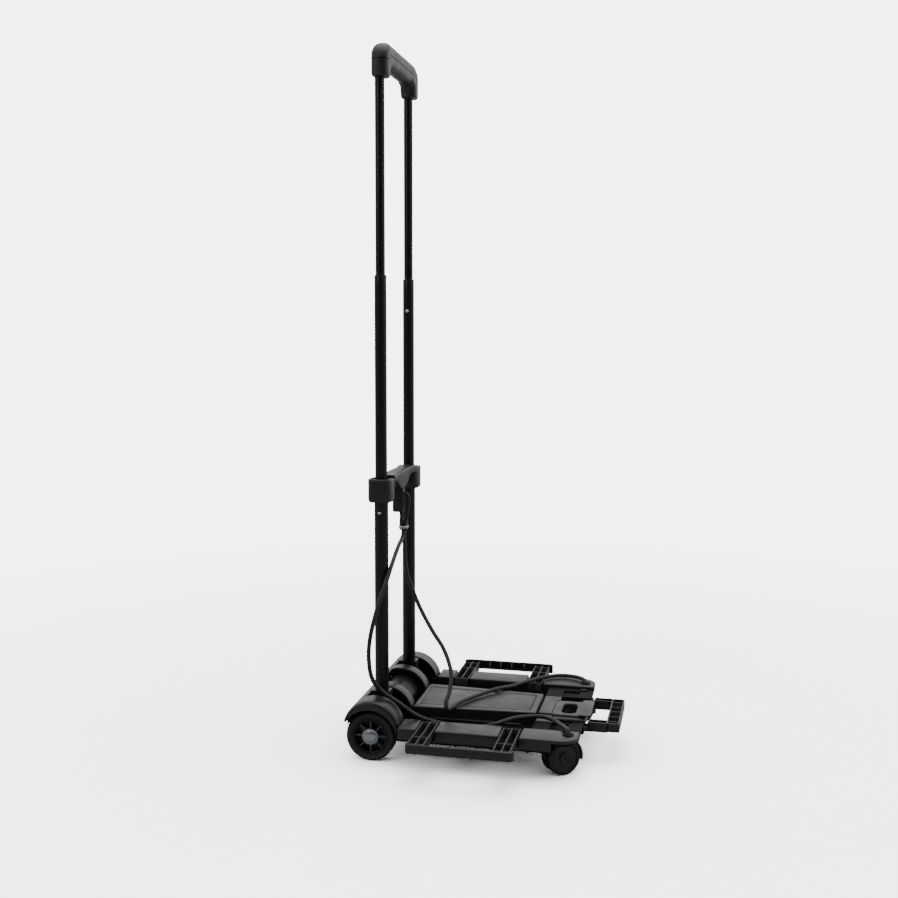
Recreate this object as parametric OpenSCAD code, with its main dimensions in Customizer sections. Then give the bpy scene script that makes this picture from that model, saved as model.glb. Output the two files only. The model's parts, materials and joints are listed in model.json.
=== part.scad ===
// Folding platform cart: a two-tube telescopic mast on a low moulded base,
// with two pull-out side wings, a pull-out front extension, two fixed rear
// wheels, two twin-wheel casters and two elastic load cords.
// +X is forward, +Y is the far side, Z = 0 is the ground.

/* [Mast] */
// Distance of the mast tubes behind the base's middle
mast_x = 146.5; // [144:0.5:148]
// Half the spacing of the two mast tubes
mast_y = 76; // [74:0.5:78]
// Height of the fold pivot above the ground
pivot_z = 68; // [67:0.5:70]
// Outer diameter of the lower tubes
lower_d = 19.5; // [19.2:0.1:19.8]
// Outer diameter of the middle tubes
middle_d = 16.8; // [16.6:0.1:16.9]
// Outer diameter of the upper tubes
upper_d = 13.2; // [12.8:0.1:13.4]
// Height of the top of the lower tubes
lower_top = 391; // [385:1:395]
// Height of the top of the middle tubes
middle_top = 674; // [660:1:680]
// Overall height, to the top of the grip
total_h = 985; // [970:1:1000]

/* [Base] */
// Height of the side rails' top
rail_top = 58.5; // [58:0.1:59]
// Height of the deck's top
deck_top = 61; // [60.5:0.1:62]
// Half the base's width over the rails
base_half_w = 141; // [140:0.5:143]
// Front edge of the base
base_front = 138.5; // [137:0.5:140]
// Thickness of the moulded walls
wall = 2.5; // [2:0.1:3]

/* [Wings and extension] */
// Outer face of a pulled-out wing, from the middle
wing_out = 201; // [198:1:204]
// Front face of the pulled-out extension
ext_front = 188; // [184:1:190]

/* [Wheels] */
// Radius of a rear wheel
wheel_r = 35; // [34:0.1:36]
// Radius of a caster wheel
caster_r = 24.5; // [24:0.1:25]
// Turn of the casters from straight ahead
caster_yaw = 38; // [0:1:90]

/* [Hidden] */
$fn = 48;
EPS = 0.02;                  // overlap where two shapes of one piece are joined
RUN = 0.06;                  // radial clearance of a shaft in its hole
GAP = 0.3;                   // gap between pieces that move past each other

FLOOR_Z = 39;                // underside of the chassis floor
FLOOR_T = 4;                 // its thickness
FLOOR_TOP = FLOOR_Z + FLOOR_T;
PLATEAU_Z = 54;              // top of the low front area
BASE_REAR = -110;            // rear end of the chassis floor
RAIL_IN = 100;               // inner edge of a side rail
NOTCHES = [[-82, -55.5], [32.5, 60.5]]; // gaps in a rail for the wing's arms
ARMS = [[-80.5, -57.5], [34, 58]];      // the wing's arms, front to back
ARM_Z = [44, 57.5];
WING_X = [-81.5, 63];        // the wing's outer bar
WING_Z = [47, 59.5];
WING_BAR = 9;                // width of the bar's top

DECK_X = [-107.2, 69];
DECK_HALF = [54, 43];        // half widths at the rear and the front
INSERT_X = [-101, 59];
INSERT_HALF = [38, 33];

CATCH_X = [90, 133];         // raised block with the finger hole
CATCH_HALF = 30;
CATCH_TOP = 56.5;
HOLE_X = [102.5, 123];
HOLE_HALF = 21;
HOLE_R = 8;
EXT_HALF = 55;
EXT_BAR = 18.5;              // depth of the extension's front bar
EXT_Z = [45, 57.3];
EXT_ARM_TOP = 50.4;
EXT_ARM_IN = 41;             // inner side of an arm

DRUM = [-148, 47.7];         // centre of the rear cover's round profile
DRUM_R = 41;
ARCH = [-151, 39];           // centre of the wheel arch
ARCH_R = 42;
COVER_HALF = 130;
COVER_REAR_Z = 57;           // lower edge of the cover behind the mast
SLOT_Y = [54, 100];          // slot in which a mast tube folds
SLOT_X = -163;
POCKET_HALF = 34;            // pocket between the two inner ears

PIN_R = 5;
AXLE = [-152, wheel_r];
AXLE_R = 4;
EAR_Y = [[59.7, 63.7], [88.2, 92.2]];   // the bracket's two ears
FOOT_Y = [64, 87.9];         // the mast foot between them
FOOT_R = 12.5;
FOOT_TOP = 90;
TUBE_BOTTOM = 76;

LOWER_R = lower_d / 2;
LOWER_IN = middle_d / 2 + RUN;
MIDDLE_R = middle_d / 2;
MIDDLE_IN = MIDDLE_R - 1;
UPPER_R = upper_d / 2;
UPPER_IN = UPPER_R - 1.1;
MIDDLE_BOTTOM = 335;
UPPER_BOTTOM = 612;
BUTTON_R = 2.5;
BUTTON_Z = [345, 627];
SLEEVE = [17, 16, 33];       // half depth, half width and height of a collar sleeve
SLEEVE_Z = 360;
BAR_TOP = 396;               // the collar's bar, top and underside
BAR_Z = 384;
BOSS_Z = 376;                // underside of the bar's middle
TAB_HALF = 6;                // half width of the tab under it
TAB_X = [-150, -134];
TAB_Z = 334;
FERRULE_Z = 308;
FERRULE_TOP = 322;
SLING_R = 2.6;               // radius of the sling's cord
SLING = [
    [-130.5, 0, FERRULE_TOP], [-130.5, 0, 325], [-130.5, 0, 328], [-129, 0, 336],
    [-127.3, 0, 346], [-127.2, 0, 354], [-129, 0, 359.4], [-132, 0, 361.2],
    [-133, 0, 361.2], [TAB_X[1], 0, 361.2]
];
GRIP_LEG_Z = 938;
GRIP_SEAM = 962;
GRIP_HALF = [12, 13];        // half depth and half width of a grip leg
GRIP_BAR_Z = 953;

WHEEL_Y = [98, 120];
RIM_R = 25;
SPOKES = 8;

STEM = [123, 94];            // caster stem, forward and sideways
TRAIL = 13;
WELL_R = 41;
MOUNT_Z = [50, 54];
STEM_R = 4;
CASTER_W = [3.6, 12.6];      // a caster wheel's inner and outer side
CASTER_HUB_R = 8;

CORD_R = 3;
CORD_SIDES = 8;
CORD_HOLE = [124, 115];
// Routes of the two elastic cords, from the ferrule to the front rails
CORD_NEAR = [
    [-134, -3.5, 307.9], [-134, -4.2, 304], [-134, -9.8, 297.5], [-133, -36, 289.5], [-133, -66, 273],
    [-134.5, -92, 252], [-143, -110, 217], [-150, -122, 178], [-152, -123, 148],
    [-149, -117.5, 118], [-137, -106, 96], [-116, -100, 80], [-96, -96, 65],
    [-79, -93, 57], [-58, -92, 52.5], [-30, -93, 50], [0, -93, 52],
    [22, -92, 58], [42, -76, 61.5], [60, -60, 60], [80, -53, 59.5],
    [98, -62, 58.5], [110, -80, 59], [118, -99, 62.5], [123, -111, 63.5],
    [124, -115, 58.5]
];
CORD_FAR = [
    [-134, 3.5, 307.9], [-134, 3, 285], [-131, 1, 248], [-122, 4, 217],
    [-109, 2, 189], [-90, -8, 162], [-69, -20, 137], [-55, -36, 110],
    [-53, -52, 88], [-55, -67, 75], [-53, -69, 65], [-49, -58, 64],
    [-45, -40, 64.5], [-32, -10, 64.3], [-15, 19, 64.3], [2, 43, 64.5],
    [16, 63, 62], [34, 88, 62.5], [52, 113, 62], [72, 131, 62],
    [92, 137, 62], [110, 131, 62.5], [120, 121, 62.5], [124, 115, 58.5]
];

BLACK = [0.08, 0.08, 0.09];
CHARCOAL = [0.25, 0.26, 0.27];
GREY = [0.36, 0.37, 0.38];
TYRE = [0.12, 0.12, 0.12];
SILVER = [0.72, 0.73, 0.74];

// ---- helpers -------------------------------------------------------------

// A drawing in the X-Z plane, drawn out from y0 to y1
module along_y(y0, y1) {
    translate([0, y1, 0]) rotate([90, 0, 0]) linear_extrude(y1 - y0) children();
}

// A box from low corner to high corner
module block(x, y, z) {
    translate([x[0], y[0], z[0]]) cube([x[1] - x[0], y[1] - y[0], z[1] - z[0]]);
}

// Rectangle with round corners, centred on [x, y]
module round_rect(x, y, r) {
    w = x[1] - x[0];
    d = y[1] - y[0];
    union() {
        translate([x[0] + r, y[0]]) square([w - 2 * r, d]);
        translate([x[0], y[0] + r]) square([w, d - 2 * r]);
        for (px = [x[0] + r, x[1] - r], py = [y[0] + r, y[1] - r])
            translate([px, py]) circle(r);
    }
}

// The same shape for the near side: children are drawn for the far side
module near_side() {
    mirror([0, 1, 0]) children();
}

// A vertical tube with its bore
module tube(r, r_in, z0, z1) {
    difference() {
        translate([0, 0, z0]) cylinder(r = r, h = z1 - z0);
        translate([0, 0, z0 - 1]) cylinder(r = r_in, h = z1 - z0 + 2);
    }
}

module at_mast() {
    translate([-mast_x, mast_y, 0]) children();
}

// ---- base ----------------------------------------------------------------

module chassis_outline() {
    half = base_half_w - wall - 0.2;
    difference() {
        translate([BASE_REAR, -half]) square([base_front - BASE_REAR, 2 * half]);
        for (s = [-1, 1]) {
            translate([STEM.x, s * STEM.y]) circle(WELL_R, $fn = 96);
            translate([104, s > 0 ? STEM.y : -half - 1]) square([60, half - STEM.y + 1]);
        }
        translate([HOLE_X[0], -HOLE_HALF]) square([60, 2 * HOLE_HALF]);
    }
}

module chassis() {
    color(BLACK) {
        translate([0, 0, FLOOR_Z]) linear_extrude(FLOOR_T) chassis_outline();
        for (y = [-84, -46, 46, 84]) block([-108, 78], [y - 1.25, y + 1.25], [33, FLOOR_Z + EPS]);
        for (x = [-30, 20, 70]) block([x, x + wall], [-130, 130], [34, FLOOR_Z + EPS]);
    }
}

// One stretch of a side rail: a hollow cover open underneath
module rail_stretch(x, bottom) {
    difference() {
        block(x, [RAIL_IN, base_half_w], [bottom, rail_top]);
        block([x[0] + wall, x[1] - wall], [RAIL_IN + wall, base_half_w - wall],
              [bottom - 1, rail_top - wall]);
    }
}

module far_rail() {
    color(GREY) difference() {
        union() {
            rail_stretch([BASE_REAR + 2.7, NOTCHES[0][0]], FLOOR_TOP);
            rail_stretch([NOTCHES[0][1], NOTCHES[1][0]], FLOOR_TOP);
            rail_front();
            block([BASE_REAR + 2.7, 104], [base_half_w - wall, base_half_w],
                  [42, FLOOR_TOP + 0.8]);
        }
        translate([CORD_HOLE.x, CORD_HOLE.y, 40]) cylinder(r = 6, h = 30);
    }
}

// The front stretch, with a round front end, open over the caster
module rail_front() {
    x0 = NOTCHES[1][1];
    difference() {
        translate([0, 0, FLOOR_TOP]) linear_extrude(rail_top - FLOOR_TOP)
            rail_front_outline(x0, 0);
        translate([0, 0, FLOOR_TOP - 1]) linear_extrude(rail_top - FLOOR_TOP - wall + 1)
            rail_front_outline(x0 + wall, wall);
        block([70, 150], [90, 150], [FLOOR_TOP - 1, MOUNT_Z[1]]);
    }
    block([x0, 104], [base_half_w - wall, base_half_w], [FLOOR_TOP, rail_top]);
}

module rail_front_outline(x0, inset) {
    r_out = 22 - inset;
    r_in = 5 - inset / 2;
    x1 = base_front - inset;
    y0 = RAIL_IN + inset;
    y1 = base_half_w - inset;
    translate([x0, y0]) square([x1 - r_out - x0, y1 - y0]);
    translate([x0, y0 + r_in]) square([x1 - x0, y1 - r_out - y0 - r_in]);
    translate([x0, y0]) square([x1 - r_in - x0, r_in + EPS]);
    translate([x1 - r_out, y1 - r_out]) intersection() {
        circle(r_out);
        square(r_out);
    }
    translate([x1 - r_in, y0 + r_in]) circle(r_in);
}

module near_rail() {
    near_side() far_rail();
}

module trapezoid(x, half) {
    polygon([[x[0], -half[0]], [x[1], -half[1]], [x[1], half[1]], [x[0], half[0]]]);
}

module deck() {
    color(GREY) difference() {
        translate([0, 0, FLOOR_TOP]) linear_extrude(deck_top - FLOOR_TOP)
            trapezoid(DECK_X, DECK_HALF);
        translate([0, 0, FLOOR_TOP - 1]) linear_extrude(deck_top - FLOOR_TOP - 3 + 1)
            trapezoid([DECK_X[0] + wall, DECK_X[1] - wall], DECK_HALF - [wall, wall]);
        translate([0, 0, deck_top - 1.5]) linear_extrude(5)
            trapezoid(INSERT_X, INSERT_HALF);
    }
}

module deck_insert() {
    color(CHARCOAL) translate([0, 0, deck_top - 1.5]) linear_extrude(1.1)
        trapezoid(INSERT_X + [0.3, -0.3], INSERT_HALF - [0.3, 0.3]);
}

module front_plateau() {
    x = [DECK_X[1] + 1.5, base_front];
    color(GREY) {
        difference() {
            block(x, [-56.8, 56.8], [PLATEAU_Z - 3, PLATEAU_Z]);
            block([CATCH_X[0], 150], [-CATCH_HALF, CATCH_HALF], [40, 60]);
            for (s = [-1, 1]) translate([0, s > 0 ? 39 : -60, 0])
                block([95, 150], [0, 21], [40, 60]);
        }
        for (s = [-1, 1])
            block([x[0], x[1]], [s * 39 - 1, s * 39 + 1], [FLOOR_TOP, PLATEAU_Z - 3 + EPS]);
        block([x[0], CATCH_X[0]], [-26, 26], [PLATEAU_Z - EPS, PLATEAU_Z + 2]);
    }
}

module catch_block() {
    color(CHARCOAL) {
        difference() {
            translate([0, 0, FLOOR_TOP]) linear_extrude(CATCH_TOP - FLOOR_TOP)
                round_rect(CATCH_X, [-CATCH_HALF, CATCH_HALF], 3);
            translate([0, 0, FLOOR_TOP - 1]) linear_extrude(30)
                round_rect(HOLE_X, [-HOLE_HALF, HOLE_HALF], HOLE_R);
        }
        block([CATCH_X[1] - EPS, base_front], [-29, 29], [FLOOR_TOP, CATCH_TOP]);
        block([CATCH_X[1] - 4, 146], [-34, 34], [57.6, 59]);
        block([CATCH_X[1] - 4, base_front], [-29, 29], [CATCH_TOP - EPS, 57.6 + EPS]);
    }
}

module far_caster_mount() {
    x = [DECK_X[1] + 1.5, base_front - 0.4];
    color(BLACK) difference() {
        union() {
            block(x, [57, base_half_w - wall - 0.4], MOUNT_Z);
            block(x, [57, 59], [FLOOR_TOP, MOUNT_Z[0] + EPS]);
            translate([STEM.x, STEM.y, MOUNT_Z[0]]) cylinder(r = 5.8, h = 5.5);
        }
        block([95, 119], [60, 86], [MOUNT_Z[1] - 2.5, 60]);
        translate([STEM.x, STEM.y, 40]) cylinder(r = STEM_R + RUN, h = 30);
        translate([STEM.x, STEM.y, 30]) cylinder(r = WELL_R, h = MOUNT_Z[0] - 30, $fn = 96);
        translate([CORD_HOLE.x, CORD_HOLE.y, 40]) cylinder(r = 3.4, h = 30);
        translate([base_front - 22, base_half_w - 22, 40]) corner_cut(22 - wall - 0.4);
    }
}

module near_caster_mount() {
    near_side() far_caster_mount();
}

// What lies outside a quarter circle of radius r, in a corner
module corner_cut(r) {
    linear_extrude(30) difference() {
        square(40);
        circle(r);
    }
}

// The round profile of the rear cover, as a disc
module drum_disc(r) {
    translate(DRUM) circle(r, $fn = 120);
}

// Where the cover has material: above its rear edge and above the floor
module cover_zone() {
    translate([-200, COVER_REAR_Z]) square([200 - 148, 60]);
    translate([-148.01, FLOOR_TOP]) square([148 - 107.6, 60]);
}

module cover_profile() {
    intersection() {
        difference() {
            drum_disc(DRUM_R);
            drum_disc(DRUM_R - wall);
        }
        cover_zone();
    }
}

module cover_web() {
    intersection() {
        drum_disc(DRUM_R - 0.5);
        cover_zone();
    }
}

module rear_cover() {
    color(CHARCOAL) {
        difference() {
            along_y(-COVER_HALF, COVER_HALF) cover_profile();
            for (s = [-1, 1])
                block([SLOT_X, -90], s > 0 ? SLOT_Y : [-SLOT_Y[1], -SLOT_Y[0]], [30, 100]);
            block([SLOT_X, -90], [-POCKET_HALF, POCKET_HALF], [30, 100]);
        }
        for (s = [-1, 1]) {
            cover_ribs(s);
        }
    }
}

// Walls that close a cover's side: two beside the slot and the fender's outer face
module cover_ribs(s) {
    for (y = [POCKET_HALF, SLOT_Y[0] - wall])
        along_y(s > 0 ? y : -y - wall, s > 0 ? y + wall : -y) cover_web();
    along_y(s > 0 ? SLOT_Y[1] : -SLOT_Y[1] - wall, s > 0 ? SLOT_Y[1] + wall : -SLOT_Y[1])
        difference() {
            cover_web();
            translate([-200, 30]) square([84, 41.5]);
        }
    along_y(s > 0 ? COVER_HALF - wall : -COVER_HALF, s > 0 ? COVER_HALF : wall - COVER_HALF)
        difference() {
            cover_web();
            translate(ARCH) circle(ARCH_R, $fn = 120);
        }
}

module centre_drum() {
    color(BLACK) along_y(-POCKET_HALF + 0.1, POCKET_HALF - 0.1) intersection() {
        difference() {
            drum_disc(30);
            drum_disc(27);
        }
        cover_zone();
    }
}

// Ear of a hinge bracket: pivot eye above, axle eye below, foot to the chassis
module ear_profile() {
    translate([-mast_x, pivot_z]) circle(13);
    translate(AXLE) circle(11);
    translate([-160, wheel_r]) square([25, pivot_z - wheel_r]);
    translate([-156, 33]) square([156 + BASE_REAR - 0.05, 14]);
    translate([BASE_REAR - 1, FLOOR_TOP]) square([2.2, 4]);
}

module far_hinge_bracket() {
    color(BLACK) difference() {
        union() {
            for (y = EAR_Y) along_y(y[0], y[1]) ear_profile();
            block([-140, BASE_REAR - 0.05], [EAR_Y[0][1] - EPS, EAR_Y[1][0] + EPS], [36, 42]);
        }
        along_y(40, 120) translate([-mast_x, pivot_z]) circle(PIN_R + RUN);
        along_y(40, 120) translate(AXLE) circle(AXLE_R + RUN);
    }
}

module near_hinge_bracket() {
    near_side() far_hinge_bracket();
}

module pivot_pins() {
    color(SILVER) for (side = [0, 1]) mirror([0, side, 0]) {
        along_y(EAR_Y[0][0] - 0.1, EAR_Y[1][1]) translate([-mast_x, pivot_z]) circle(PIN_R);
        along_y(EAR_Y[0][0] - 2.2, EAR_Y[0][0]) translate([-mast_x, pivot_z]) circle(PIN_R + 2.5);
    }
}

module rear_axle() {
    color(SILVER) along_y(-WHEEL_Y[1] + 1, WHEEL_Y[1] - 1) translate(AXLE) circle(AXLE_R);
}

module cord_grommets() {
    color(BLACK) for (s = [-1, 1]) translate([CORD_HOLE.x, s * CORD_HOLE.y, 0]) {
        difference() {
            union() {
                translate([0, 0, rail_top - wall - 1.5]) cylinder(r = 5.9, h = wall + 1.5);
                translate([0, 0, rail_top]) cylinder(r = 7.5, h = 1.2);
            }
            translate([0, 0, 40]) cylinder(r = CORD_R + 0.2, h = 30);
        }
    }
}

module chassis_screws() {
    color(SILVER) for (x = [-95, -10, 60], s = [-1, 1])
        translate([x, s * 32, FLOOR_Z - 2]) cylinder(r = 3.2, h = 2 - 0.02);
}

// ---- mast ----------------------------------------------------------------

module far_foot() {
    color(BLACK) difference() {
        union() {
            along_y(FOOT_Y[0], FOOT_Y[1]) translate([-mast_x, pivot_z]) circle(FOOT_R);
            block([-mast_x - 14.5, -mast_x + 13], [mast_y - 9, mast_y + 9], [pivot_z, FOOT_TOP]);
        }
        at_mast() translate([0, 0, TUBE_BOTTOM]) cylinder(r = LOWER_R + 0.03, h = 40);
        along_y(40, 120) translate([-mast_x, pivot_z]) circle(PIN_R + RUN);
    }
}

module near_foot() {
    near_side() far_foot();
}

module far_lower_tube() {
    color(BLACK) at_mast() tube(LOWER_R, LOWER_IN, TUBE_BOTTOM, lower_top);
}

module near_lower_tube() {
    color(BLACK) difference() {
        near_side() far_lower_tube();
        translate([-mast_x, -mast_y, BUTTON_Z[0]]) rotate([90, 0, 0])
            cylinder(r = BUTTON_R + RUN, h = 20);
    }
}

// Sleeve of the collar round one tube, and the bar that joins the two
module collar() {
    color(CHARCOAL) difference() {
        union() {
            for (s = [-1, 1]) translate([-mast_x, s * mast_y, SLEEVE_Z]) linear_extrude(SLEEVE.z)
                round_rect([-SLEEVE.x, SLEEVE.x], [-SLEEVE.y, SLEEVE.y], 8);
            along_y(-mast_y + 12, mast_y - 12)
                round_rect([-160, -131], [BAR_Z, BAR_TOP], 4);
            along_y(-14, 14) round_rect([TAB_X[0] - 2, TAB_X[1]], [BOSS_Z, BAR_Z + 6], 3);
        }
        for (s = [-1, 1]) translate([-mast_x, s * mast_y, 0]) {
            translate([0, 0, 340]) cylinder(r = LOWER_R + 0.03, h = lower_top - 340);
            translate([0, 0, 340]) cylinder(r = MIDDLE_R + RUN, h = 80);
        }
        near_side() sleeve_mouths();
        sleeve_mouths();
    }
}

// Cuts the bar back where the middle tube and its top pass the sleeve
module sleeve_mouths() {
    at_mast() translate([0, 0, SLEEVE_Z + SLEEVE.z]) cylinder(r = 12, h = 30);
}

// Tab under the middle of the bar, which holds the cords' sling
module cord_tab() {
    color(BLACK) along_y(-TAB_HALF, TAB_HALF) {
        round_rect(TAB_X, [TAB_Z, TAB_Z + 12], 3);
        translate([TAB_X[0], TAB_Z + 6]) square([TAB_X[1] - TAB_X[0], BOSS_Z - TAB_Z - 6.02]);
    }
}

// Short loop of cord: up from the ferrule, over into the tab, and down out of it
module cord_sling() {
    color(BLACK) {
        sweep(SLING, SLING_R, CORD_SIDES);
        translate([-138, 0, FERRULE_TOP]) cylinder(r = SLING_R, h = TAB_Z - FERRULE_TOP);
    }
}

// Block that joins the two cords' ends to the sling
module ferrule() {
    color(SILVER) translate([-134.5, 0, FERRULE_Z]) linear_extrude(FERRULE_TOP - FERRULE_Z)
        round_rect([-6.5, 6.5], [-7.5, 7.5], 3.5);
}

module far_middle_tube() {
    color(BLACK) difference() {
        at_mast() tube(MIDDLE_R, MIDDLE_IN, MIDDLE_BOTTOM, middle_top);
        translate([-mast_x, mast_y, BUTTON_Z[1]]) rotate([90, 0, 0])
            cylinder(r = BUTTON_R + RUN, h = 20);
    }
}

module near_middle_tube() {
    color(BLACK) difference() {
        near_side() at_mast() tube(MIDDLE_R, MIDDLE_IN, MIDDLE_BOTTOM, middle_top);
        translate([-mast_x, -mast_y, BUTTON_Z[0]]) rotate([90, 0, 0])
            cylinder(r = BUTTON_R + 0.5, h = 20);
    }
}

module middle_bushes() {
    color(GREY) for (s = [-1, 1]) translate([-mast_x, s * mast_y, 0])
        tube(MIDDLE_IN - 0.02, UPPER_R + RUN, middle_top - 30, middle_top);
}

module far_upper_tube() {
    color(BLACK) difference() {
        at_mast() tube(UPPER_R, UPPER_IN, UPPER_BOTTOM, GRIP_SEAM + 6);
        translate([-mast_x, mast_y, BUTTON_Z[1]]) rotate([90, 0, 0])
            cylinder(r = BUTTON_R + 0.5, h = 20);
    }
}

module near_upper_tube() {
    color(BLACK) near_side() at_mast() tube(UPPER_R, UPPER_IN, UPPER_BOTTOM, GRIP_SEAM + 6);
}

// Outline of the grip from the front: an upside-down U
module grip_outline() {
    y1 = mast_y + GRIP_HALF[1];
    r = 30;
    half_in = mast_y - GRIP_HALF[1];
    difference() {
        union() {
            translate([-y1, GRIP_LEG_Z]) square([2 * y1, total_h - r - GRIP_LEG_Z]);
            translate([-y1 + r, GRIP_LEG_Z]) square([2 * (y1 - r), total_h - GRIP_LEG_Z]);
            for (s = [-1, 1]) translate([s * (y1 - r), total_h - r]) circle(r);
        }
        translate([-half_in, 900]) square([2 * half_in, GRIP_BAR_Z - 900]);
        translate([-y1 - 1, 900]) square([2 * y1 + 2, GRIP_LEG_Z - 900]);
    }
}

module grip_body() {
    intersection() {
        translate([-mast_x + 2, 0, 0]) rotate([90, 0, 90])
            translate([0, 0, -GRIP_HALF[0]]) linear_extrude(2 * GRIP_HALF[0]) grip_outline();
        along_y(-100, 100) round_rect([-mast_x - 10, -mast_x + 14], [GRIP_LEG_Z - 20, total_h], 9);
    }
}

module grip_lower_shell() {
    color(CHARCOAL) difference() {
        grip_body();
        block([-200, -100], [-120, 120], [GRIP_SEAM, 1000]);
        for (s = [-1, 1]) translate([-mast_x, s * mast_y, 900])
            cylinder(r = UPPER_R + 0.03, h = 100);
    }
}

module grip_upper_shell() {
    color(CHARCOAL) difference() {
        grip_body();
        block([-200, -100], [-120, 120], [900, GRIP_SEAM + 0.02]);
        for (s = [-1, 1]) translate([-mast_x, s * mast_y, 900])
            cylinder(r = UPPER_R + 0.03, h = GRIP_SEAM + 6.02 - 900);
    }
}

// Snap button: a plunger with a domed head, pointing to the near side
module button(tube_r, tube_in) {
    rotate([90, 0, 0]) {
        translate([0, 0, tube_in + 0.05]) cylinder(r = BUTTON_R, h = tube_r - tube_in);
        intersection() {
            translate([0, 0, tube_r - 0.4]) sphere(BUTTON_R);
            translate([0, 0, tube_r - 0.4]) cylinder(r = BUTTON_R, h = 5);
        }
    }
}

module near_button() {
    color(SILVER) translate([-mast_x, -mast_y, BUTTON_Z[0]]) button(LOWER_R, LOWER_IN);
}

module far_button() {
    color(SILVER) translate([-mast_x, mast_y, BUTTON_Z[1]]) button(MIDDLE_R, MIDDLE_IN);
}

// ---- drawers -------------------------------------------------------------

// Arm of a wing: three ribs, a floor and a cross rib
module wing_arm(x) {
    y = [RAIL_IN + 3, wing_out - 3];
    for (rx = [x[0], (x[0] + x[1]) / 2 - 1, x[1] - 2]) block([rx, rx + 2], y, ARM_Z);
    block(x, y, [ARM_Z[0], ARM_Z[0] + 2]);
    for (ry = [y[0], 160]) block(x, [ry, ry + 2], ARM_Z);
}

module wing_outline(inset) {
    y0 = wing_out - WING_BAR;
    translate([WING_X[0] + inset, y0]) square([WING_X[1] - WING_X[0] - 2 * inset, WING_BAR - 6]);
    round_rect([WING_X[0] + inset, WING_X[1] - inset], [y0 - 8, wing_out - inset], 6);
}

module far_wing() {
    color(GREY) {
        difference() {
            translate([0, 0, WING_Z[0]]) linear_extrude(WING_Z[1] - WING_Z[0]) intersection() {
                wing_outline(0);
                translate([-100, wing_out - WING_BAR]) square([200, 40]);
            }
            block([WING_X[0] + 3, WING_X[1] - 3], [wing_out - WING_BAR - 1, wing_out - 3.5],
                  [WING_Z[0] - 1, WING_Z[1] - 3]);
        }
        for (x = ARMS) wing_arm(x);
        for (x = [-40, -23.5, -5.5, 15]) block([x, x + 2], [wing_out - WING_BAR, wing_out - 3],
                                               [WING_Z[0], WING_Z[1] - 2.9]);
    }
}

module near_wing() {
    near_side() far_wing();
}

module front_extension() {
    color(GREY) {
        translate([0, 0, EXT_Z[0]]) linear_extrude(EXT_Z[1] - EXT_Z[0]) intersection() {
            round_rect([ext_front - 40, ext_front], [-EXT_HALF, EXT_HALF], 6);
            translate([ext_front - EXT_BAR, -60]) square([60, 120]);
        }
        for (s = [-1, 1]) {
            y = s > 0 ? [EXT_ARM_IN, EXT_HALF] : [-EXT_HALF, -EXT_ARM_IN];
            difference() {
                block([121, ext_front - EXT_BAR + EPS], y, [FLOOR_TOP + 0.5, EXT_ARM_TOP]);
                block([124, ext_front - EXT_BAR - 3], y + [3, -3], [FLOOR_TOP + 2.5, 60]);
            }
            block([144, ext_front - EXT_BAR + EPS], y, [EXT_ARM_TOP - EPS, EXT_Z[1]]);
        }
    }
}

// ---- wheels --------------------------------------------------------------

// Ring turned about Y, from a profile in radius and sideways place
module turned(centre, y_mid) {
    translate([centre.x, y_mid, centre.y]) rotate([90, 0, 0]) rotate_extrude($fn = 96) children();
}

module far_tyre() {
    w = WHEEL_Y[1] - WHEEL_Y[0];
    color(TYRE) turned(AXLE, (WHEEL_Y[0] + WHEEL_Y[1]) / 2)
        round_rect([RIM_R, wheel_r], [-w / 2, w / 2], 4);
}

module far_rim() {
    y_mid = (WHEEL_Y[0] + WHEEL_Y[1]) / 2;
    color(BLACK) difference() {
        union() {
            turned(AXLE, y_mid) translate([RIM_R - 3, -9]) square([3 - 0.02, 18]);
            turned(AXLE, y_mid) translate([RIM_R - 4, -2]) square([3, 4]);
            along_y(WHEEL_Y[0] + 0.6, WHEEL_Y[1] - 2) translate(AXLE) circle(11);
            for (i = [0:SPOKES - 1]) along_y(y_mid - 1, WHEEL_Y[1] - 4) translate(AXLE)
                rotate(i * 360 / SPOKES + 22.5) translate([8, -2.2]) square([RIM_R - 9, 4.4]);
        }
        along_y(80, 130) translate(AXLE) circle(AXLE_R + RUN);
    }
}

module far_hub_cap() {
    color(SILVER) translate([AXLE.x, WHEEL_Y[1] - 2, AXLE.y]) rotate([-90, 0, 0]) difference() {
        union() {
            cylinder(r = 11.5, h = 2.2);
            intersection() {
                translate([0, 0, -12.4]) sphere(18, $fn = 96);
                translate([0, 0, 2.1]) cylinder(r = 10.4, h = 5);
            }
        }
        translate([0, 0, -1]) cylinder(r = AXLE_R + 0.3, h = 2.5);
    }
}

module near_tyre() {
    near_side() far_tyre();
}

module near_rim() {
    near_side() far_rim();
}

module near_hub_cap() {
    near_side() far_hub_cap();
}

// ---- casters -------------------------------------------------------------

// Puts a caster, drawn about its stem and heading +X, in its place
module place_caster(s) {
    translate([STEM.x, s * STEM.y, 0]) rotate([0, 0, -s * caster_yaw]) children();
}

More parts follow.
